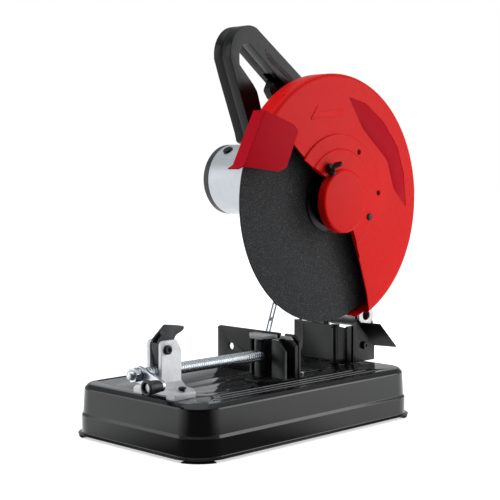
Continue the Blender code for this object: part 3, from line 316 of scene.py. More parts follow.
jaw_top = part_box("jaw")[1].z
# The red coat's edge tint is a darker red: painted shade along its edges and creases.
RED = powder_coat("red_powder_coat", (0.80, 0.008, 0.007), (0.74, 0.007, 0.006), 0.30, 520,
                  edge_wear_and_shade=((0.45, 0.012, 0.010), 0.25), specular=0.06)
# Darker red: the guard's real side print, and on the spark deflector painted shade in place of the guard red.
DEEP_RED_PRINT_AND_SHADE = powder_coat("deep_red_print_and_shade", (0.52, 0.001, 0.012), (0.48, 0.001, 0.011), 0.36, 520,
                       specular=0.03)
GLOSS_BLACK = powder_coat("gloss_black_coat", (0.003, 0.003, 0.0035), (0.005, 0.005, 0.006), 0.13, 420,
                          edge_wear_and_shade=((0.09, 0.09, 0.09), 0.35), specular=0.42)
BLACK_STEEL = black_steel("satin_black_steel", (0.003, 0.003, 0.0035), 0.24, (0.16, 0.16, 0.16), 0.45)
JAW_STEEL = jaw_steel("rubbed_jaw_steel", jaw_top)
CAST = cast_metal("sand_cast_alloy", (0.66, 0.67, 0.68), (0.36, 0.36, 0.37))
MOTOR_SKIN = cast_metal("silver_motor_skin", (0.56, 0.59, 0.62), (0.42, 0.44, 0.46), 1300, 0.00004, 0.38, 0.6)
ZINC = bright_metal("bright_zinc_plate", (0.66, 0.70, 0.74), 0.24, tint=(0.52, 0.57, 0.63), depth=0.00001)
GROUND = bright_metal("ground_steel", (0.50, 0.50, 0.50), 0.26, streak=(1, 6, 6), depth=0.00001)
DARK_STEEL = bright_metal("black_oxide_steel", (0.030, 0.030, 0.032), 0.34, tint=(0.05, 0.05, 0.055),
                          depth=0.00001)
SATIN_BLACK = moulded("satin_black_nylon", (0.003, 0.003, 0.0035), 0.22, 1500, 0.000005, specular=0.16)
GREY_NYLON = moulded("dark_grey_nylon", (0.018, 0.020, 0.024), 0.34, 1300, 0.00002, specular=0.4)
SOFT = moulded("soft_grip_rubber", (0.085, 0.087, 0.09), 0.62, 1100, 0.00003, specular=0.3)
RUBBER = moulded("black_rubber", (0.010, 0.010, 0.010), 0.7, 800, 0.00005, specular=0.25)
GRIT = abrasive_face("bonded_abrasive")
COPPER = copper_wire("varnished_copper")

SLOT_LOOK = {
    "black_paint": GLOSS_BLACK, "matt_black_steel": BLACK_STEEL, "red_paint": RED, "cast_alloy": CAST,
    "motor_alloy": MOTOR_SKIN, "bright_zinc": ZINC, "dark_steel": DARK_STEEL, "grey_plastic": GREY_NYLON,
    "black_plastic": SATIN_BLACK, "soft_grip": SOFT, "rubber": RUBBER, "abrasive": GRIT,
    "copper_windings": COPPER, "brushed_steel": GROUND,
}
NODE_SLOT = {row["node"]: row["material_slot"] for row in frame["record"]["subparts"]}
NODE_BODY = {node: body for body, nodes in frame["record"]["behaviour"]["bodies"].items() for node in nodes}


# ---------------------------------------------------------------- shape tools

def to_object(name, bm):
    """A scene object made of bm, which is freed."""
    mesh = bpy.data.meshes.new(name)
    bm.to_mesh(mesh)
    bm.free()
    obj = bpy.data.objects.new(name, mesh)
    bpy.context.scene.collection.objects.link(obj)
    return obj


def arc(cu, cv, r, start, end, steps):
    """Points along an arc between two angles in degrees."""
    turn = [math.radians(start + (end - start) * i / steps) for i in range(steps + 1)]
    return [(cu + r * math.cos(t), cv + r * math.sin(t)) for t in turn]


def rounded(points, radius, steps=6):
    """The outline with each corner replaced by a smooth curve of about that radius."""
    out, n = [], len(points)
    for i, here in enumerate(points):
        r = radius[i] if isinstance(radius, (list, tuple)) else radius
        p, a, b = Vector(here), Vector(points[i - 1]), Vector(points[(i + 1) % n])
        if r <= 0:
            out.append(tuple(p))
            continue
        da, db = (a - p), (b - p)
        half = da.angle(db) / 2
        back = min(r / math.tan(half), 0.45 * da.length, 0.45 * db.length)
        s, e = p + da.normalized() * back, p + db.normalized() * back
        for k in range(steps + 1):
            t = k / steps
            out.append(tuple((1 - t) ** 2 * s + 2 * t * (1 - t) * p + t * t * e))
    return out


def slab(name, outline, axis, low, high, holes=()):
    """A flat outline extruded along a world axis. Outlines are (y, z), (x, z) or (x, y)."""
    curve = bpy.data.curves.new(name, "CURVE")
    curve.dimensions = "2D"
    curve.fill_mode = "BOTH"
    curve.extrude = (high - low) / 2
    for ring in (outline, *holes):
        spline = curve.splines.new("POLY")
        spline.points.add(len(ring) - 1)
        for point, (u, v) in zip(spline.points, ring):
            point.co = (u, v, 0, 1)
        spline.use_cyclic_u = True
    temp = bpy.data.objects.new(name, curve)
    bpy.context.scene.collection.objects.link(temp)
    bpy.context.view_layer.update()
    mesh = bpy.data.meshes.new_from_object(temp.evaluated_get(bpy.context.evaluated_depsgraph_get()))
    bpy.data.objects.remove(temp)
    bm = bmesh.new()
    bm.from_mesh(mesh)
    mid = (low + high) / 2
    shift = {"X": (mid, 0, 0), "Y": (0, mid, 0), "Z": (0, 0, mid)}[axis]
    bm.transform(Matrix.Translation(shift) @ AXIS_MAP[axis].to_4x4())
    bmesh.ops.remove_doubles(bm, verts=bm.verts[:], dist=0.01)
    bmesh.ops.dissolve_limit(bm, angle_limit=math.radians(0.5), verts=bm.verts[:], edges=bm.edges[:])
    bmesh.ops.recalc_face_normals(bm, faces=bm.faces[:])
    return to_object(name, bm)


def turned(name, profile, axis, centre, steps=120, sweep=360.0, start=0.0):
    """A closed (radius, position along the axis) outline spun about an axis through centre."""
    bm = bmesh.new()
    verts = [bm.verts.new((r, 0, t)) for r, t in profile]
    edges = [bm.edges.new((a, b)) for a, b in zip(verts, verts[1:] + verts[:1])
             if a.co.x > 1e-6 or b.co.x > 1e-6]
    if sweep < 360:
        bm.faces.new(verts)
        bmesh.ops.rotate(bm, verts=bm.verts[:], matrix=Matrix.Rotation(math.radians(start), 3, "Z"))
    bmesh.ops.spin(bm, geom=verts + edges + bm.faces[:], cent=(0, 0, 0), axis=(0, 0, 1),
                   angle=math.radians(sweep), steps=steps, use_merge=sweep >= 360)
    spin_map = {"X": AXIS_MAP["X"], "Y": Matrix(((0, 1, 0), (0, 0, 1), (1, 0, 0))), "Z": AXIS_MAP["Z"]}[axis]
    bm.transform(Matrix.Translation(centre) @ spin_map.to_4x4())
    bmesh.ops.remove_doubles(bm, verts=bm.verts[:], dist=0.005)
    bmesh.ops.recalc_face_normals(bm, faces=bm.faces[:])
    return to_object(name, bm)


def rod(name, axis, centre, r, low, high, steps=40):
    """A plain cylinder along an axis."""
    return turned(name, [(0, low), (r, low), (r, high), (0, high)], axis, centre, steps)


def box(name, low, high):
    """A block between two corners."""
    bm = bmesh.new()
    bmesh.ops.create_cube(bm, size=1.0)
    size = [b - a for a, b in zip(low, high)]
    mid = [(a + b) / 2 for a, b in zip(low, high)]
    bm.transform(Matrix.Translation(mid) @ Matrix.Diagonal((*size, 1.0)))
    return to_object(name, bm)


def tube_into(bm, points, radius, sides=10, cyclic=False):
    """A round wire swept along points, added to bm."""
    rings, n = [], len(points)
    side = None
    for i, p in enumerate(points):
        ahead = points[(i + 1) % n] if cyclic or i < n - 1 else p
        behind = points[i - 1] if cyclic or i > 0 else p
        along = (ahead - behind).normalized()
        if side is None:
            side = along.orthogonal().normalized()
        side = (side - along * side.dot(along)).normalized()
        up = along.cross(side)
        rings.append([bm.verts.new(p + (side * math.cos(t) + up * math.sin(t)) * radius)
                      for t in (2 * math.pi * k / sides for k in range(sides))])
    pairs = list(zip(rings, rings[1:])) + ([(rings[-1], rings[0])] if cyclic else [])
    for one, two in pairs:
        for k in range(sides):
            bm.faces.new((one[k], one[(k + 1) % sides], two[(k + 1) % sides], two[k]))
    if not cyclic:
        bm.faces.new(rings[0][::-1])
        bm.faces.new(rings[-1])


def settle(obj):
    """Applies an object's modifiers to its mesh."""
    bpy.context.view_layer.update()
    depsgraph = bpy.context.evaluated_depsgraph_get()
    mesh = bpy.data.meshes.new_from_object(obj.evaluated_get(depsgraph))
    obj.modifiers.clear()
    obj.data = mesh
    return obj


def combine(obj, others, operation):
    """Applies one exact Boolean for each of others and removes them."""
    for other in others:
        step = obj.modifiers.new(operation.lower(), "BOOLEAN")
        step.operation, step.solver, step.object = operation, "EXACT", other
    settle(obj)
    for other in others:
        bpy.data.objects.remove(other)
    return obj


def cut(obj, *others):
    """Takes others away from obj."""
    return combine(obj, others, "DIFFERENCE")


def fuse(obj, *others):
    """Joins others to obj."""
    return combine(obj, others, "UNION")


def round_edges(obj, width, segments=3, angle=32):
    """Welds, makes flat faces whole again and rounds every edge sharper than angle."""
    bm = bmesh.new()
    bm.from_mesh(obj.data)
    bmesh.ops.remove_doubles(bm, verts=bm.verts[:], dist=0.01)
    bmesh.ops.dissolve_limit(bm, angle_limit=math.radians(0.6), verts=bm.verts[:], edges=bm.edges[:])
    bm.to_mesh(obj.data)
    bm.free()
    step = obj.modifiers.new("edges", "BEVEL")
    step.width, step.segments, step.limit_method = width, segments, "ANGLE"
    step.angle_limit = math.radians(angle)
    step.use_clamp_overlap = True
    return settle(obj)


def show(obj, *nodes, body=None, slot=None, look=None, smooth=38):
    """Moves a piece into the frame, gives it its surface and lets it ride and stand for its nodes."""
    body = body or NODE_BODY[nodes[0]]
    slot = slot or NODE_SLOT[nodes[0]]
    obj.data.transform(TO_FRAME)
    obj.data.materials.clear()
    obj.data.materials.append(look or SLOT_LOOK[slot])
    obj.data.shade_smooth()
    obj.data.set_sharp_from_angle(angle=math.radians(smooth))
    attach(obj, body)
    if nodes:
        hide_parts(*nodes)
    return obj


def from_cad(node):
    """A copy of a CAD node's mesh in millimetres."""
    bm = bmesh.new()
    bm.from_mesh(frame["nodes"][node].data)
    bm.transform(TO_FRAME.inverted())
    bmesh.ops.remove_doubles(bm, verts=bm.verts[:], dist=0.003)
    return to_object(node + "_fine", bm)


# ---------------------------------------------------------------- base and vise

def rounded_rectangle(half_x, half_y, r, steps=14):
    """A centred rectangle with round corners."""
    points = []
    for sx, sy, start in ((1, 1, 0), (-1, 1, 90), (-1, -1, 180), (1, -1, 270)):
        points += arc(sx * (half_x - r), sy * (half_y - r), r, start, start + 90, steps)
    return points


def ring_loops(bm, section):
    """One loop of the base's outline for each (inset, height)."""
    return [[bm.verts.new((u, v, z)) for u, v in
             rounded_rectangle(BASE_X / 2 - inset, BASE_Y / 2 - inset, BASE_CORNER - inset)]
            for inset, z in section]


def make_base():
    """The pressed pan with its rolled rim, stepped skirt, soft shoulder and stiffening grooves."""
    skirt = [(0.0, 0.0), (0.0, 2.6), (5.6, 3.6), (5.2, 28.0), (7.2, 31.5), (9.2, 65.0), (14.4, BASE_TOP),
             (40.0, BASE_TOP), (40.0, 40.0)]
    outside = rounded(skirt, [0.4, 1.0, 2.0, 1.6, 1.6, 5.5, 4.5, 0, 0], 5)[:-2]
    lining = [(6.4, 0), (7.5, 3.4), (7.2, 28.6), (9.2, 32.0), (11.0, 62.8), (13.0, 66.6),
              (17.0, BASE_TOP - SHEET)]
    bm = bmesh.new()
    outer, inner = ring_loops(bm, outside[6:]), ring_loops(bm, lining)
    for loops, flip in ((outer, False), (inner, True)):
        for lower, upper in zip(loops, loops[1:]):
            for i in range(len(lower)):
                j = (i + 1) % len(lower)
                quad = (lower[i], lower[j], upper[j], upper[i])
                bm.faces.new(quad[::-1] if flip else quad)
    bm.faces.new(outer[-1])
    bm.faces.new(inner[-1][::-1])
    for i in range(len(inner[0])):
        j = (i + 1) % len(inner[0])
        bm.faces.new((outer[0][j], outer[0][i], inner[0][i], inner[0][j]))
    bmesh.ops.recalc_face_normals(bm, faces=bm.faces[:])
    pan = to_object("base_pan_fine", bm)
    slot = rounded([(SLOT_LOW, -44), (SLOT_HIGH, -44), (SLOT_HIGH, 104), (SLOT_LOW, 104)], 4.9)
    cutters = [slab("wheel_slot", slot, "Z", 60, 80)]
    for x0, x1, y0, y1 in ((-117, -111, -185, 150), (19, 21.5, -186, 0), (82, 88, -152, 136),
                           (94, 100, -162, 152), (105, 110, -170, 160)):
        groove = rounded([(x0, y0), (x1, y0), (x1, y1), (x0, y1)], (x1 - x0) * 0.45, 4)
        cutters.append(slab("groove", groove, "Z", BASE_TOP - 1.3, 80))
    cutters += [rod("pan_hole", "Z", (x, y, 0), r + GAP, 60, 80, 24) for x, y, r in PAN_HOLES]
    cut(pan, *cutters)
    round_edges(pan, 0.55, 2, 40)
    show(pan, "base_pan", smooth=30)


def make_thread():
    """Rolled thread on the vise screw, plain ends and the collar groove that turns in the jaw."""
    low, high = -230.5, -8.5
    per_turn, sides, depth = 6, 28, 0.4
    rings = int((high - low) / SCREW_PITCH * per_turn)
    bm = bmesh.new()
    loops = []
    for i in range(rings + 1):
        y = low + (high - low) * i / rings
        fade = min(1.0, (y - low) / 5, (high - y) / 5)
        loop = []
        for k in range(sides):
            t = 2 * math.pi * k / sides
            phase = (y / SCREW_PITCH - k / sides) % 1.0
            crest = min(1.0, max(0.0, 1.6 - 3.2 * abs(phase - 0.5) * 1.25))
            r = SCREW_R - 0.05 - depth * (1 - crest) * fade
            loop.append(bm.verts.new((SCREW_X + r * math.cos(t), y, SCREW_Z + r * math.sin(t))))
        loops.append(loop)
    for one, two in zip(loops, loops[1:]):
        for k in range(sides):
            bm.faces.new((one[k], two[k], two[(k + 1) % sides], one[(k + 1) % sides]))
    bm.faces.new(loops[0])
    bm.faces.new(loops[-1][::-1])
    bmesh.ops.recalc_face_normals(bm, faces=bm.faces[:])
    screw = to_object("vise_screw_fine", bm)
    centre = (SCREW_X, 0, SCREW_Z)
    tail = [(0, -252), (4.6, -252), (5.8, -250.9), (5.8, -229.5), (0, -229.5)]
    nose = [(0, -9.5), (7.6, -9.5), (7.6, -7.8), (5.4, -7.8), (5.4, -2.8), (7.9, -2.8), (7.9, 2.5), (6.9, 3.6),
            (0, 3.6)]
    ends = [turned(name, profile, "Y", centre, 40) for name, profile in (("tail", tail), ("nose", nose))]
    show(fuse(screw, *ends), "vise_screw", smooth=50)


def make_knob():
    """The crank's turning knob with its open end, rounded lips and grip flutes."""
    profile = [(3.4, -252.2), (6.6, -252.2), (6.6, KNOB_FRONT), (9.2, KNOB_FRONT), (10.2, -257.4),
               (10.2, -254.0), (8.8, -251.8), (8.4, -243.0), (8.0, -238.0), (6.2, -236.9), (3.4, -236.9)]
    profile = rounded(profile, [0, 0.4, 0.6, 0.8, 0.8, 0.8, 1.2, 1.0, 1.0, 0.6, 0], 4)
    show(turned("crank_knob_fine", profile, "Y", (KNOB_X, 0, KNOB_Z), 72), "crank_knob")


# ---------------------------------------------------------------- pivot

def link_loop(centre, along, across, half, bend):
    """Centre line of one oval chain link."""
    points = []
    for end, start in ((1, -90), (-1, 90)):
        for k in range(9):
            t = math.radians(start + 180 * k / 8)
            points.append(centre + along * (end * half + bend * math.cos(t)) + across * (bend * math.sin(t)))
    return points


def make_chain():
    """Welded lock-down chain from the arm's hook pin to the eye on the base."""
    along = (CHAIN_HIGH - CHAIN_LOW).normalized()
    across = Vector((1, 0, 0))
    turned_side = along.cross(across)
    pitch = (CHAIN_HIGH - CHAIN_LOW).length / (CHAIN_LINKS - 0.35)
    half = pitch / 2 + LINK_WIRE * 0.9 - LINK_BEND + 0.2
    bm = bmesh.new()
    for i in range(CHAIN_LINKS):
        centre = CHAIN_LOW + along * (pitch * (i + 0.33))
        side = across if i % 2 else turned_side
        tube_into(bm, link_loop(centre, along, side, half, LINK_BEND), LINK_WIRE, 10, cyclic=True)
    bmesh.ops.recalc_face_normals(bm, faces=bm.faces[:])
    chain = show(to_object("chain_links", bm), "lock_chain", smooth=60)
    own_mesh(chain)


def make_spring():
    """Torsion spring wound round the pivot shaft, its tail hooked behind the pedestal front."""
    r, turns, steps = 14.5, 3.6, 100
    points = [Vector((-46.8, PIVOT_Y + r - 1, 82.0 + 6 * k)) for k in range(9)]
    for i in range(steps + 1):
        t = 2 * math.pi * turns * i / steps
        x = -46.5 + 18.5 * i / steps
        points.append(Vector((x, PIVOT_Y + r * math.cos(t), PIVOT_Z + r * math.sin(t))))
    bm = bmesh.new()
    tube_into(bm, points, 1.75, 12)
    bmesh.ops.recalc_face_normals(bm, faces=bm.faces[:])
    show(to_object("return_spring_fine", bm), "return_spring", smooth=60)


# ---------------------------------------------------------------- motor and wheel

def make_motor():
    """Smooth motor barrel with a turned lip, fan vents and brush-cap seats, and its ribbed end cap."""
    centre = (0, MOTOR_Y, MOTOR_Z)
    wall = [(51.5, -185), (MOTOR_R, -185), (MOTOR_R, -52), (54.5, -46), (54.5, -44.8), (20, -44.8), (20, -49),
            (51.5, -52)]
    tube = turned("motor_housing_fine", rounded(wall, [0, 0.8, 3, 2, 0.4, 0, 0, 0], 5), "X", centre, 128)
    cutters = []
    for turn in (125, 305):
        bore = rod("brush_bore", "Y", (0, 0, 0), 8.3, 40, 70)
        bore.data.transform(Matrix.Translation((-164, MOTOR_Y, MOTOR_Z))
                            @ Matrix.Rotation(math.radians(turn), 4, "X"))
        cutters.append(bore)
    opening = rounded([(-72, -1.5), (-58, -1.5), (-58, 1.5), (-72, 1.5)], 1.4, 4)
    for i in range(6):
        for k in range(-1, 2):
            vent = slab("vent", opening, "Y", 44, 64)
            vent.data.transform(Matrix.Translation((0, MOTOR_Y, MOTOR_Z))
                                @ Matrix.Rotation(math.radians(60 * i + 5 + 5 * k), 4, "X"))
            cutters.append(vent)
    cut(tube, *cutters)
    show(tube, "motor_housing", smooth=34)
    cap = [(0, MOTOR_END), (50, MOTOR_END), (53, -199), (MOTOR_R, -195), (MOTOR_R, -185.3), (51.1, -185.3),
           (51.1, -178), (47, -178), (45, -192), (13, -192), (13, -184), (6.3, -184), (6.3, -194), (0, -194)]
    cap = rounded(cap, [0, 2, 3, 2, 0.5] + [0] * 9, 4)
    cap = turned("end_cap_fine", cap, "X", centre, 128)
    opening = rounded([(20, -1.6), (42, -1.6), (42, 1.6), (20, 1.6)], 1.5, 4)
    slots = []
    for i in range(16):
        slit = slab("slit", opening, "X", MOTOR_END - 3, -190)
        slit.data.transform(Matrix.Translation((0, MOTOR_Y, MOTOR_Z))
                            @ Matrix.Rotation(math.radians(22.5 * i), 4, "X"))
        slots.append(slit)
    cut(cap, *slots)
    show(cap, "end_cap", smooth=34)


def make_wheel():
    """The bonded cutting disc with its slightly dressed rim, and the clamp flanges."""
    centre = (0, HUB_Y, HUB_Z)
    low, high = WHEEL_X - WHEEL_THICK / 2, WHEEL_X + WHEEL_THICK / 2
    rim = [(WHEEL_BORE, low), (WHEEL_R, low), (WHEEL_R, high), (WHEEL_BORE, high)]
    show(turned("abrasive_wheel_fine", rounded(rim, [0, 0.5, 0.5, 0], 3), "X", centre, 200), "abrasive_wheel")
    outer = [(5.3, 50.3), (37, 50.3), (37, 49.8), (45, 49.8), (45, 52), (38, 55.5), (24, 55.5), (22, 57.5),
             (5.3, 57.5)]
    outer = rounded(outer, [0, 0, 0, 0.4, 0.7, 1.2, 0.8, 0.6, 0.3], 3)
    show(turned("outer_flange_fine", outer, "X", centre, 96), "outer_flange")
    inner = [(10.3, 37), (38, 37), (44, 43), (44, 46.2), (37, 46.2), (37, 45), (12.5, 45), (12.5, 49.2),
             (10.3, 49.2)]
    inner = rounded(inner, [0, 1, 1, 0.3, 0, 0, 0, 0, 0], 3)
    show(turned("inner_flange_fine", inner, "X", centre, 96), "inner_flange")


# ---------------------------------------------------------------- guard

PANEL_EDGE = [(131, 470), (170, 462), (212, 436), (246, 400), (262, 360), (269, 306), (237, 336), (222, 378),
              (163, 425)]
PANEL_ROUND = [2, 20, 20, 20, 20, 2, 8, 30, 8]
ARROW = [(47, 434), (65, 457), (68, 447), (118, 452), (122, 446), (118, 441), (72, 438)]
COVER_VENTS = ((152.4, 390.1), (198.2, 329.6))


def make_guard():
    """Red wheel guard with a rolled edge, the recessed side print and the raised rotation arrow."""
    section = rounded([(GUARD_R - 2, GUARD_BACK + 2), (46, GUARD_BACK + 2), (46, GUARD_BACK),
                       (GUARD_R, GUARD_BACK), (GUARD_R, GUARD_FACE), (50, GUARD_FACE), (50, GUARD_FACE - 2),
                       (GUARD_R - 2, GUARD_FACE - 2)], [2, 0, 0, 4, 7, 0, 0, 5], 7)
    guard = turned("wheel_guard_fine", section, "X", (0, HUB_Y, HUB_Z), 110, sweep=212, start=-72)
    neck = [(46, 28.4), (51, 28.4), (51, GUARD_BACK + 1), (46, GUARD_BACK + 1)]
    fuse(guard, turned("guard_neck", neck, "X", (0, HUB_Y, HUB_Z), 72))
    upper = [(80.2, 351.8), (6.8, 393.3), (-26, 412), (-150, 330), (60, 250), (HUB_Y, HUB_Z)]
    lower = [(HUB_Y, HUB_Z), (138.1, 275.8), (159, 227.5), (176, 180), (184, 140), (178, 110), (60, 100),
             (60, 300)]
    panel = rounded(PANEL_EDGE, PANEL_ROUND, 5)
    cut(guard, slab("trim", upper, "X", GUARD_FACE - 12, GUARD_FACE + 8),
        slab("trim", lower, "X", GUARD_FACE - 12, GUARD_FACE + 8),
        slab("panel", panel, "X", GUARD_FACE - 0.8, GUARD_FACE + 4),
        rod("wing_hole", "X", (0, WING_Y, WING_Z), 3.4, 60, 90),
        rod("screw_hole", "X", (0, COVER_SCREW_Y, COVER_SCREW_Z), 2.8, 60, 90),
        *[rod("vent", "X", (0, y, z), 4.6, 60, 90) for y, z in COVER_VENTS])
    show(guard, "wheel_guard", smooth=30)
    middle = sum((Vector(p) for p in panel), Vector((0, 0))) / len(panel)
    inlay = [tuple(middle + (Vector(p) - middle) * 0.992) for p in panel]
    show(round_edges(slab("guard_print", inlay, "X", GUARD_FACE - 0.78, GUARD_FACE - 0.3), 0.12, 2),
         body="head", slot="red_paint", look=DEEP_RED_PRINT_AND_SHADE)
    arrow = slab("guard_arrow", rounded(ARROW, 2.0, 4), "X", GUARD_FACE + 0.02, GUARD_FACE + 0.9)
    show(round_edges(arrow, 0.5, 3), body="head", slot="red_paint")


def make_cover():
    """Stepped centre cover with its round nose."""
    x = GUARD_FACE + GAP
    section = [(0, 84.3), (42, 84.3), (44, 82.3), (44, x), (96, x), (97, x + 1), (96, x + 2.2), (76, x + 2.2),
               (74, x + 4.0), (46.0, x + 4.0), (46, 84.8), (43.5, 86.3), (0, 86.3)]
    section = rounded(section, [0, 0, 0, 0, 0.3, 0.4, 0.9, 1.2, 1.2, 1.6, 1.2, 2.0, 0], 4)
    cover = turned("centre_cover_fine", section, "X", (0, HUB_Y, HUB_Z), 128)
    away = [(6.8, 393.3), (-60, 430), (-60, 150), (172, 150), (159, 227.5), (138.1, 275.8)]
    away += arc(HUB_Y, HUB_Z, 46.4, 302, 133, 40)
    cut(cover, slab("trim", away, "X", x - 2, x + 4.5),
        *[rod("vent", "X", (0, y, z), 4.0, 60, 90) for y, z in COVER_VENTS],
        rod("hole_c", "X", (0, WING_Y, WING_Z), 3.4, 60, 90),
        rod("hole_d", "X", (0, COVER_SCREW_Y, COVER_SCREW_Z), 2.8, 60, 90))
    show(cover, "centre_cover", smooth=30)


def make_deflector():
    """Folded front spark deflector."""
    x = GUARD_FACE + GAP
    face = rounded([(-44.8, 445), (12, 427.5), (21.1, 419.5), (-3, 367.5), (-19.4, 362.4), (-85.2, 369.4)],
                   [0, 6, 4, 6, 4, 0], 6)
    side = slab("spark_deflector_fine", face, "X", x, x + 2.0)
    along = Vector((-85.2 + 44.8, 369.4 - 445)).normalized()
    inward = Vector((-along.y, along.x))
    a = Vector((-44.8, 445.0)) - inward * 0.3 - along * 0.5
    b = Vector((-85.2, 369.4)) - inward * 0.3 + along * 0.5
    sheet = [tuple(a), tuple(b), tuple(b + inward * 2), tuple(a + inward * 2)]
    tip = [(-84.0, 372.0), (-94, 367.4), (-94, 365.6), (-83.2, 370.2)]
    fuse(side, slab("front", sheet, "X", 52.5, x + 1.2), slab("lip", tip, "X", 53.0, x + 0.8))
    # The deflector is red paint; it is given the darker print red as painted shade.
    show(round_edges(side, 0.7, 3, 40), "spark_deflector", look=DEEP_RED_PRINT_AND_SHADE, smooth=35)


# ---------------------------------------------------------------- handle

LOOP_CROWN = [(7 + 39 * math.cos(math.radians(t)), 527 + 42 * math.sin(math.radians(t)))
              for t in (188, 178, 168, 158, 148, 138, 128, 118, 109, 99, 90, 80, 70)]
LOOP_OUT = [(60, 366), (52, 391), (13, 404), (9, 418), (-7, 458), (-22, 495), *LOOP_CROWN,
            (60, 539.5), (113, 503.5), (160, 469), (186, 441), (192, 410), (186, 390)]
LOOP_OUT_ROUND = [0, 6, 7, 0, 0, 20] + [0] * 13 + [0, 0, 40, 24, 14, 0]
LOOP_IN = [(-14, 513), (-14, 528), (-7, 541.5), (5, 544), (40, 517.5), (104, 470), (138, 447), (152, 428),
           (146, 414), (120, 424), (60, 424), (36, 436), (30, 452), (22, 476), (14, 486)]
LOOP_IN_ROUND = [8, 10, 8, 8, 0, 0, 16, 10, 8, 14, 14, 10, 20, 16, 8]
GRIP = [(37, 538.5), (104, 494.5), (101, 489), (52, 517), (40, 528)]
GRIP_MID = Vector((66.8, 513.4))
SHELL_SCREWS = ((6, 470), (-1, 554), (150, 462), (176, 432), (76, 408))


def soften(obj, value, width, segments):
    """Rounds the edges of the face that lies at one x."""
    bm = bmesh.new()
    bm.from_mesh(obj.data)
    edges = [e for e in bm.edges if all(abs(v.co.x - value) < 0.01 for v in e.verts)
             and any(abs(f.normal.x) < 0.5 for f in e.link_faces)]
    bmesh.ops.bevel(bm, geom=edges, offset=width, segments=segments, profile=0.5, affect="EDGES",
                    clamp_overlap=True)
    bmesh.ops.recalc_face_normals(bm, faces=bm.faces[:])
    bm.to_mesh(obj.data)
    bm.free()


def gearbox_outline(grow=0.0, steps=40):
    """Outline round the spindle and the motor, which the handle saddles."""
    points = []
    for cy, cz, r, a0, a1 in ((HUB_Y, HUB_Z, 52 + grow, 126, 306), (MOTOR_Y, MOTOR_Z, 54 + grow, -54, 126)):
        points += arc(cy, cz, r, a0, a1, steps)
    return points


def make_handle():
    """The two moulded shells of the closed loop, with the bays for the trigger and the grip pad."""
    outer, inner = rounded(LOOP_OUT, LOOP_OUT_ROUND, 5), rounded(LOOP_IN, LOOP_IN_ROUND, 5)
    mid = (HANDLE_LOW + HANDLE_HIGH) / 2
    bay = [(48, 474), (124, 425), (146, 462), (131, 479), (84, 509), (58, 508)]
    switch = [(127, 466.5), (148, 448.5), (159.5, 462), (139, 479.5)]
    for node, x0, x1, skin in (("handle_shell_left", HANDLE_LOW, mid - 0.15, HANDLE_LOW),
                               ("handle_shell_right", mid + 0.15, HANDLE_HIGH, HANDLE_HIGH)):
        shell = slab(node + "_fine", outer, "X", x0, x1, [inner])
        soften(shell, skin, 11.0 if skin == HANDLE_LOW else 6.5, 8)
        soften(shell, mid - 0.15 if skin == HANDLE_LOW else mid + 0.15, 0.25, 2)
        cutters = [slab("saddle", gearbox_outline(0.4), "X", -60, 40),
                   slab("pad", [(66, 340), (204, 340), (200, 413.2), (62, 392.2)], "X", -34.4, -9.6),
                   slab("bay", bay, "X", -29.5, -14.5),
                   slab("switch", switch, "X", -31.3, -12.7),
                   rod("cord", "Y", (mid, 0, CORD_Z), 7.8, 176, 210)]
        if skin == HANDLE_LOW:
            cutters.append(rod("lock", "X", (0, 42, 530), 5.3, -60, -23))
            cutters += [rod("well", "X", (0, y, z), 4.2, -60, HANDLE_LOW + 5) for y, z in SHELL_SCREWS]
        else:
            cutters.append(slab("pocket", GRIP, "X", HANDLE_HIGH - 1.5, 10))
        cut(shell, *cutters)
        show(shell, node, smooth=32)


def make_shell_screws():
    """Recessed screws that close the handle from the motor side."""
    seat = HANDLE_LOW + 5.2
    profile = [(0, seat), (3.4, seat), (3.4, HANDLE_LOW + 3.6), (2.4, HANDLE_LOW + 2.6),
               (0, HANDLE_LOW + 2.3)]
    for i, (y, z) in enumerate(SHELL_SCREWS):
        head = turned(f"shell_screw_{i}", profile, "X", (0, y, z), 32)
        cross = [box("cross", (HANDLE_LOW + 1, y - u, z - v), (HANDLE_LOW + 3.8, y + u, z + v))
                 for u, v in ((1.8, 0.35), (0.35, 1.8))]
        show(cut(head, *cross), body="head", slot="dark_steel")


def inside(point, ring):
    """True if a point lies in a polygon."""
    u, v = point
    found = False
    for (au, av), (bu, bv) in zip(ring, ring[1:] + ring[:1]):
        if (av > v) != (bv > v) and u < au + (v - av) / (bv - av) * (bu - au):
            found = not found
    return found


def make_grip():
    """Soft grip pad with rows of raised dots."""
    edge = [tuple((Vector(p) - GRIP_MID) * 0.97 + GRIP_MID) for p in GRIP]
    face = HANDLE_HIGH + 0.4
    pad = round_edges(slab("grip_pad", edge, "X", HANDLE_HIGH - 1.2, face), 0.5, 3)
    show(pad, "grip_panel")
    along = (Vector((104, 494.5)) - Vector((37, 538.5))).normalized()
    down = Vector((along.y, -along.x))
    room = [tuple((Vector(p) - GRIP_MID) * 0.90 + GRIP_MID) for p in GRIP]
    bm = bmesh.new()
    for row in range(-6, 7):
        for column in range(-22, 23):
            at = GRIP_MID + along * (2.9 * (column + 0.5 * (row % 2))) + down * (2.5 * row)
            if inside(tuple(at), room):
                place = Matrix.Translation((face - 0.1, at.x, at.y)) @ Matrix.Diagonal((0.75, 1, 1, 1))
                bmesh.ops.create_icosphere(bm, subdivisions=2, radius=0.95, matrix=place)
    show(to_object("grip_dots", bm), body="head", slot="black_plastic")


def make_gland():
    """Ribbed rubber strain relief where the supply cord enters."""
    profile = [(4.2, 181), (7.5, 181), (7.5, 193), (10.5, 193), (10.5, 196), (8.6, 197)]
    for i in range(5):
        r = 8.4 - 0.35 * i
        low = 198 + 3.1 * i
        profile += [(r, low), (r, low + 1.6), (r - 1.3, low + 1.8), (r - 1.3, low + 2.9)]
    profile += [(6.8, 214), (4.2, 214)]
    centre = ((HANDLE_LOW + HANDLE_HIGH) / 2, 0, CORD_Z)
    show(turned("cord_gland_fine", profile, "Y", centre, 48), "cord_gland")


# ---------------------------------------------------------------- rounded copies of CAD pieces

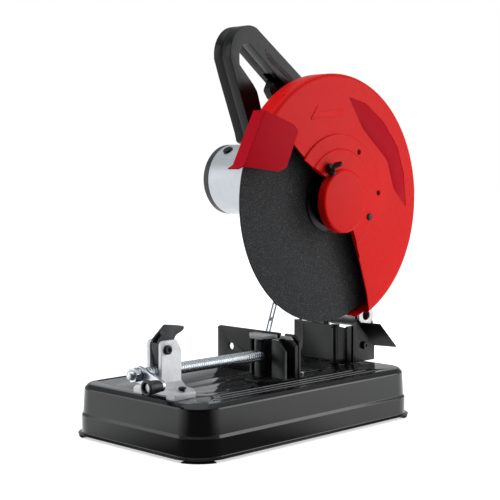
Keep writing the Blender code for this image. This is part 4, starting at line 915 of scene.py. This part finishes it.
EDGE_ROUNDING = {
    "fence_left": 0.9, "fence_right": 0.9, "rear_pedestal": 0.9, "spark_plate": 0.6, "vise_bracket": 1.6,
    "jaw": 1.1, "release_lever": 1.8, "crank_arm": 0.8, "crank_nut": 0.3, "fence_bolt_left": 0.4,
    "fence_bolt_right": 0.4, "pedestal_bolt_left": 0.4, "pedestal_bolt_right": 0.4, "depth_stop_bolt": 0.4,
    "bracket_bolt_left": 0.4, "bracket_bolt_right": 0.4, "lever_pin": 0.4, "spark_plate_bolt": 0.4,
    "wheel_bolt": 0.35, "cover_screw": 0.3, "wing_bolt": 0.9, "pivot_nut": 0.4, "swing_arm": 2.2,
    "gear_housing": 2.4, "bearing_cover": 0.9, "trigger": 1.4, "lock_button": 0.4, "brush_cap_upper": 0.5,
    "brush_cap_lower": 0.5, "foot_front_left": 0.8, "foot_front_right": 0.8, "foot_rear_left": 0.8,
    "foot_rear_right": 0.8, "pivot_shaft": 0.5, "knob_stud": 0.3, "chain_anchor": 0.4,
}


def make_rounded_copies():
    """CAD pieces whose shape is kept and whose edges are rounded by so many millimetres."""
    for node, width in EDGE_ROUNDING.items():
        piece = round_edges(from_cad(node), width, 3)
        show(piece, node, look={"jaw": JAW_STEEL, "cover_screw": DARK_STEEL}.get(node))


def dress_kept_nodes():
    """The CAD pieces that stay as they are get their surfaces."""
    for node, obj in frame["nodes"].items():
        if not obj.hide_render:
            obj.data.materials.clear()
            obj.data.materials.append(SLOT_LOOK[NODE_SLOT[node]])
            obj.data.shade_smooth()
            obj.data.set_sharp_from_angle(angle=math.radians(35))


# ---------------------------------------------------------------- studio

def area_light(name, place, target, size, power):
    """A soft box at place, aimed at target."""
    light = bpy.data.lights.new(name, "AREA")
    light.shape, light.size, light.size_y, light.energy = "RECTANGLE", size[0], size[1], power
    obj = bpy.data.objects.new(name, light)
    bpy.context.scene.collection.objects.link(obj)
    obj.location = place
    obj.rotation_mode = "QUATERNION"
    obj.rotation_quaternion = (Vector(target) - Vector(place)).to_track_quat("-Z", "Y")


def shade_world(tree):
    """White behind the saw; as light, a bright roof and two bright walls with a dark gap in front."""
    nodes, links = tree.nodes, tree.links
    backdrop = nodes["Background"]
    backdrop.inputs["Color"].default_value = (1, 1, 1, 1)
    backdrop.inputs["Strength"].default_value = 1.0
    dome = nodes.new("ShaderNodeBackground")
    dome.inputs["Color"].default_value = (0.95, 0.98, 1.0, 1)
    coords, split = nodes.new("ShaderNodeTexCoord"), nodes.new("ShaderNodeSeparateXYZ")
    links.new(coords.outputs["Generated"], split.inputs["Vector"])
    facing = nodes.new("ShaderNodeVectorMath")
    facing.operation = "DOT_PRODUCT"
    facing.inputs[1].default_value = FRONT
    links.new(coords.outputs["Generated"], facing.inputs[0])

    def maths(operation, a, b):
        node = nodes.new("ShaderNodeMath")
        node.operation = operation
        for socket, value in zip(node.inputs, (a, b)):
            if isinstance(value, float):
                socket.default_value = value
            else:
                links.new(value, socket)
        return node.outputs["Value"]

    def ramp(value, low, high, to_low, to_high):
        node = nodes.new("ShaderNodeMapRange")
        node.interpolation_type = "SMOOTHSTEP"
        for name, number in zip(("From Min", "From Max", "To Min", "To Max"), (low, high, to_low, to_high)):
            node.inputs[name].default_value = number
        links.new(value, node.inputs["Value"])
        return node.outputs["Result"]

    front = facing.outputs["Value"]
    sides = ramp(maths("MULTIPLY", front, front), 0.05, 0.6, 1.0, 0.0)
    behind = ramp(front, -1.0, -0.35, 0.6, 0.0)
    low_band = maths("MULTIPLY", maths("ADD", sides, behind), ramp(split.outputs["Z"], 0.1, 0.75, 1.0, 0.15))
    overhead = ramp(split.outputs["Z"], 0.45, 0.9, 0.01, 0.8)
    links.new(maths("ADD", low_band, overhead), dome.inputs["Strength"])
    path, mixer = nodes.new("ShaderNodeLightPath"), nodes.new("ShaderNodeMixShader")
    links.new(path.outputs["Is Camera Ray"], mixer.inputs["Fac"])
    links.new(dome.outputs["Background"], mixer.inputs[1])
    links.new(backdrop.outputs["Background"], mixer.inputs[2])
    links.new(mixer.outputs["Shader"], nodes["World Output"].inputs["Surface"])


def make_studio():
    """Pale floor, soft boxes and the camera."""
    bm = bmesh.new()
    bmesh.ops.create_circle(bm, cap_ends=True, segments=96, radius=FLOOR_R)
    floor = to_object("floor", bm)
    floor.data.materials.append(pale_floor("pale_floor"))
    world = bpy.data.worlds.new("studio")
    world.use_nodes = True
    bpy.context.scene.world = world
    shade_world(world.node_tree)
    sun = bpy.data.lights.new("sky_panel", "SUN")
    sun.energy, sun.angle = 0.7, 1.2
    panel = bpy.data.objects.new("sky_panel", sun)
    bpy.context.scene.collection.objects.link(panel)
    panel.rotation_euler = (0.25, -0.1, 0)
    area_light("right_box", (1.8, 1.8, 0.9), (0, 0, 0.35), (1.0, 1.5), 16)
    area_light("left_box", (-1.9, -1.9, 1.1), (0, 0, 0.25), (1.0, 1.8), 8)
    lens = bpy.data.cameras.new("camera")
    lens.lens, lens.sensor_width = LENS, SENSOR
    lens.clip_start, lens.clip_end = 0.05, 60
    camera = bpy.data.objects.new("camera", lens)
    bpy.context.scene.collection.objects.link(camera)
    camera.location = CAMERA_AT
    camera.rotation_mode = "QUATERNION"
    camera.rotation_quaternion = CAMERA_AIM.to_track_quat("-Z", "Y")
    bpy.context.scene.camera = camera
    bpy.context.scene.view_settings.view_transform = "Standard"


make_base()
make_thread()
make_knob()
make_chain()
make_spring()
make_motor()
make_wheel()
make_guard()
make_cover()
make_deflector()
make_handle()
make_shell_screws()
make_grip()
make_gland()
make_rounded_copies()
dress_kept_nodes()
make_studio()
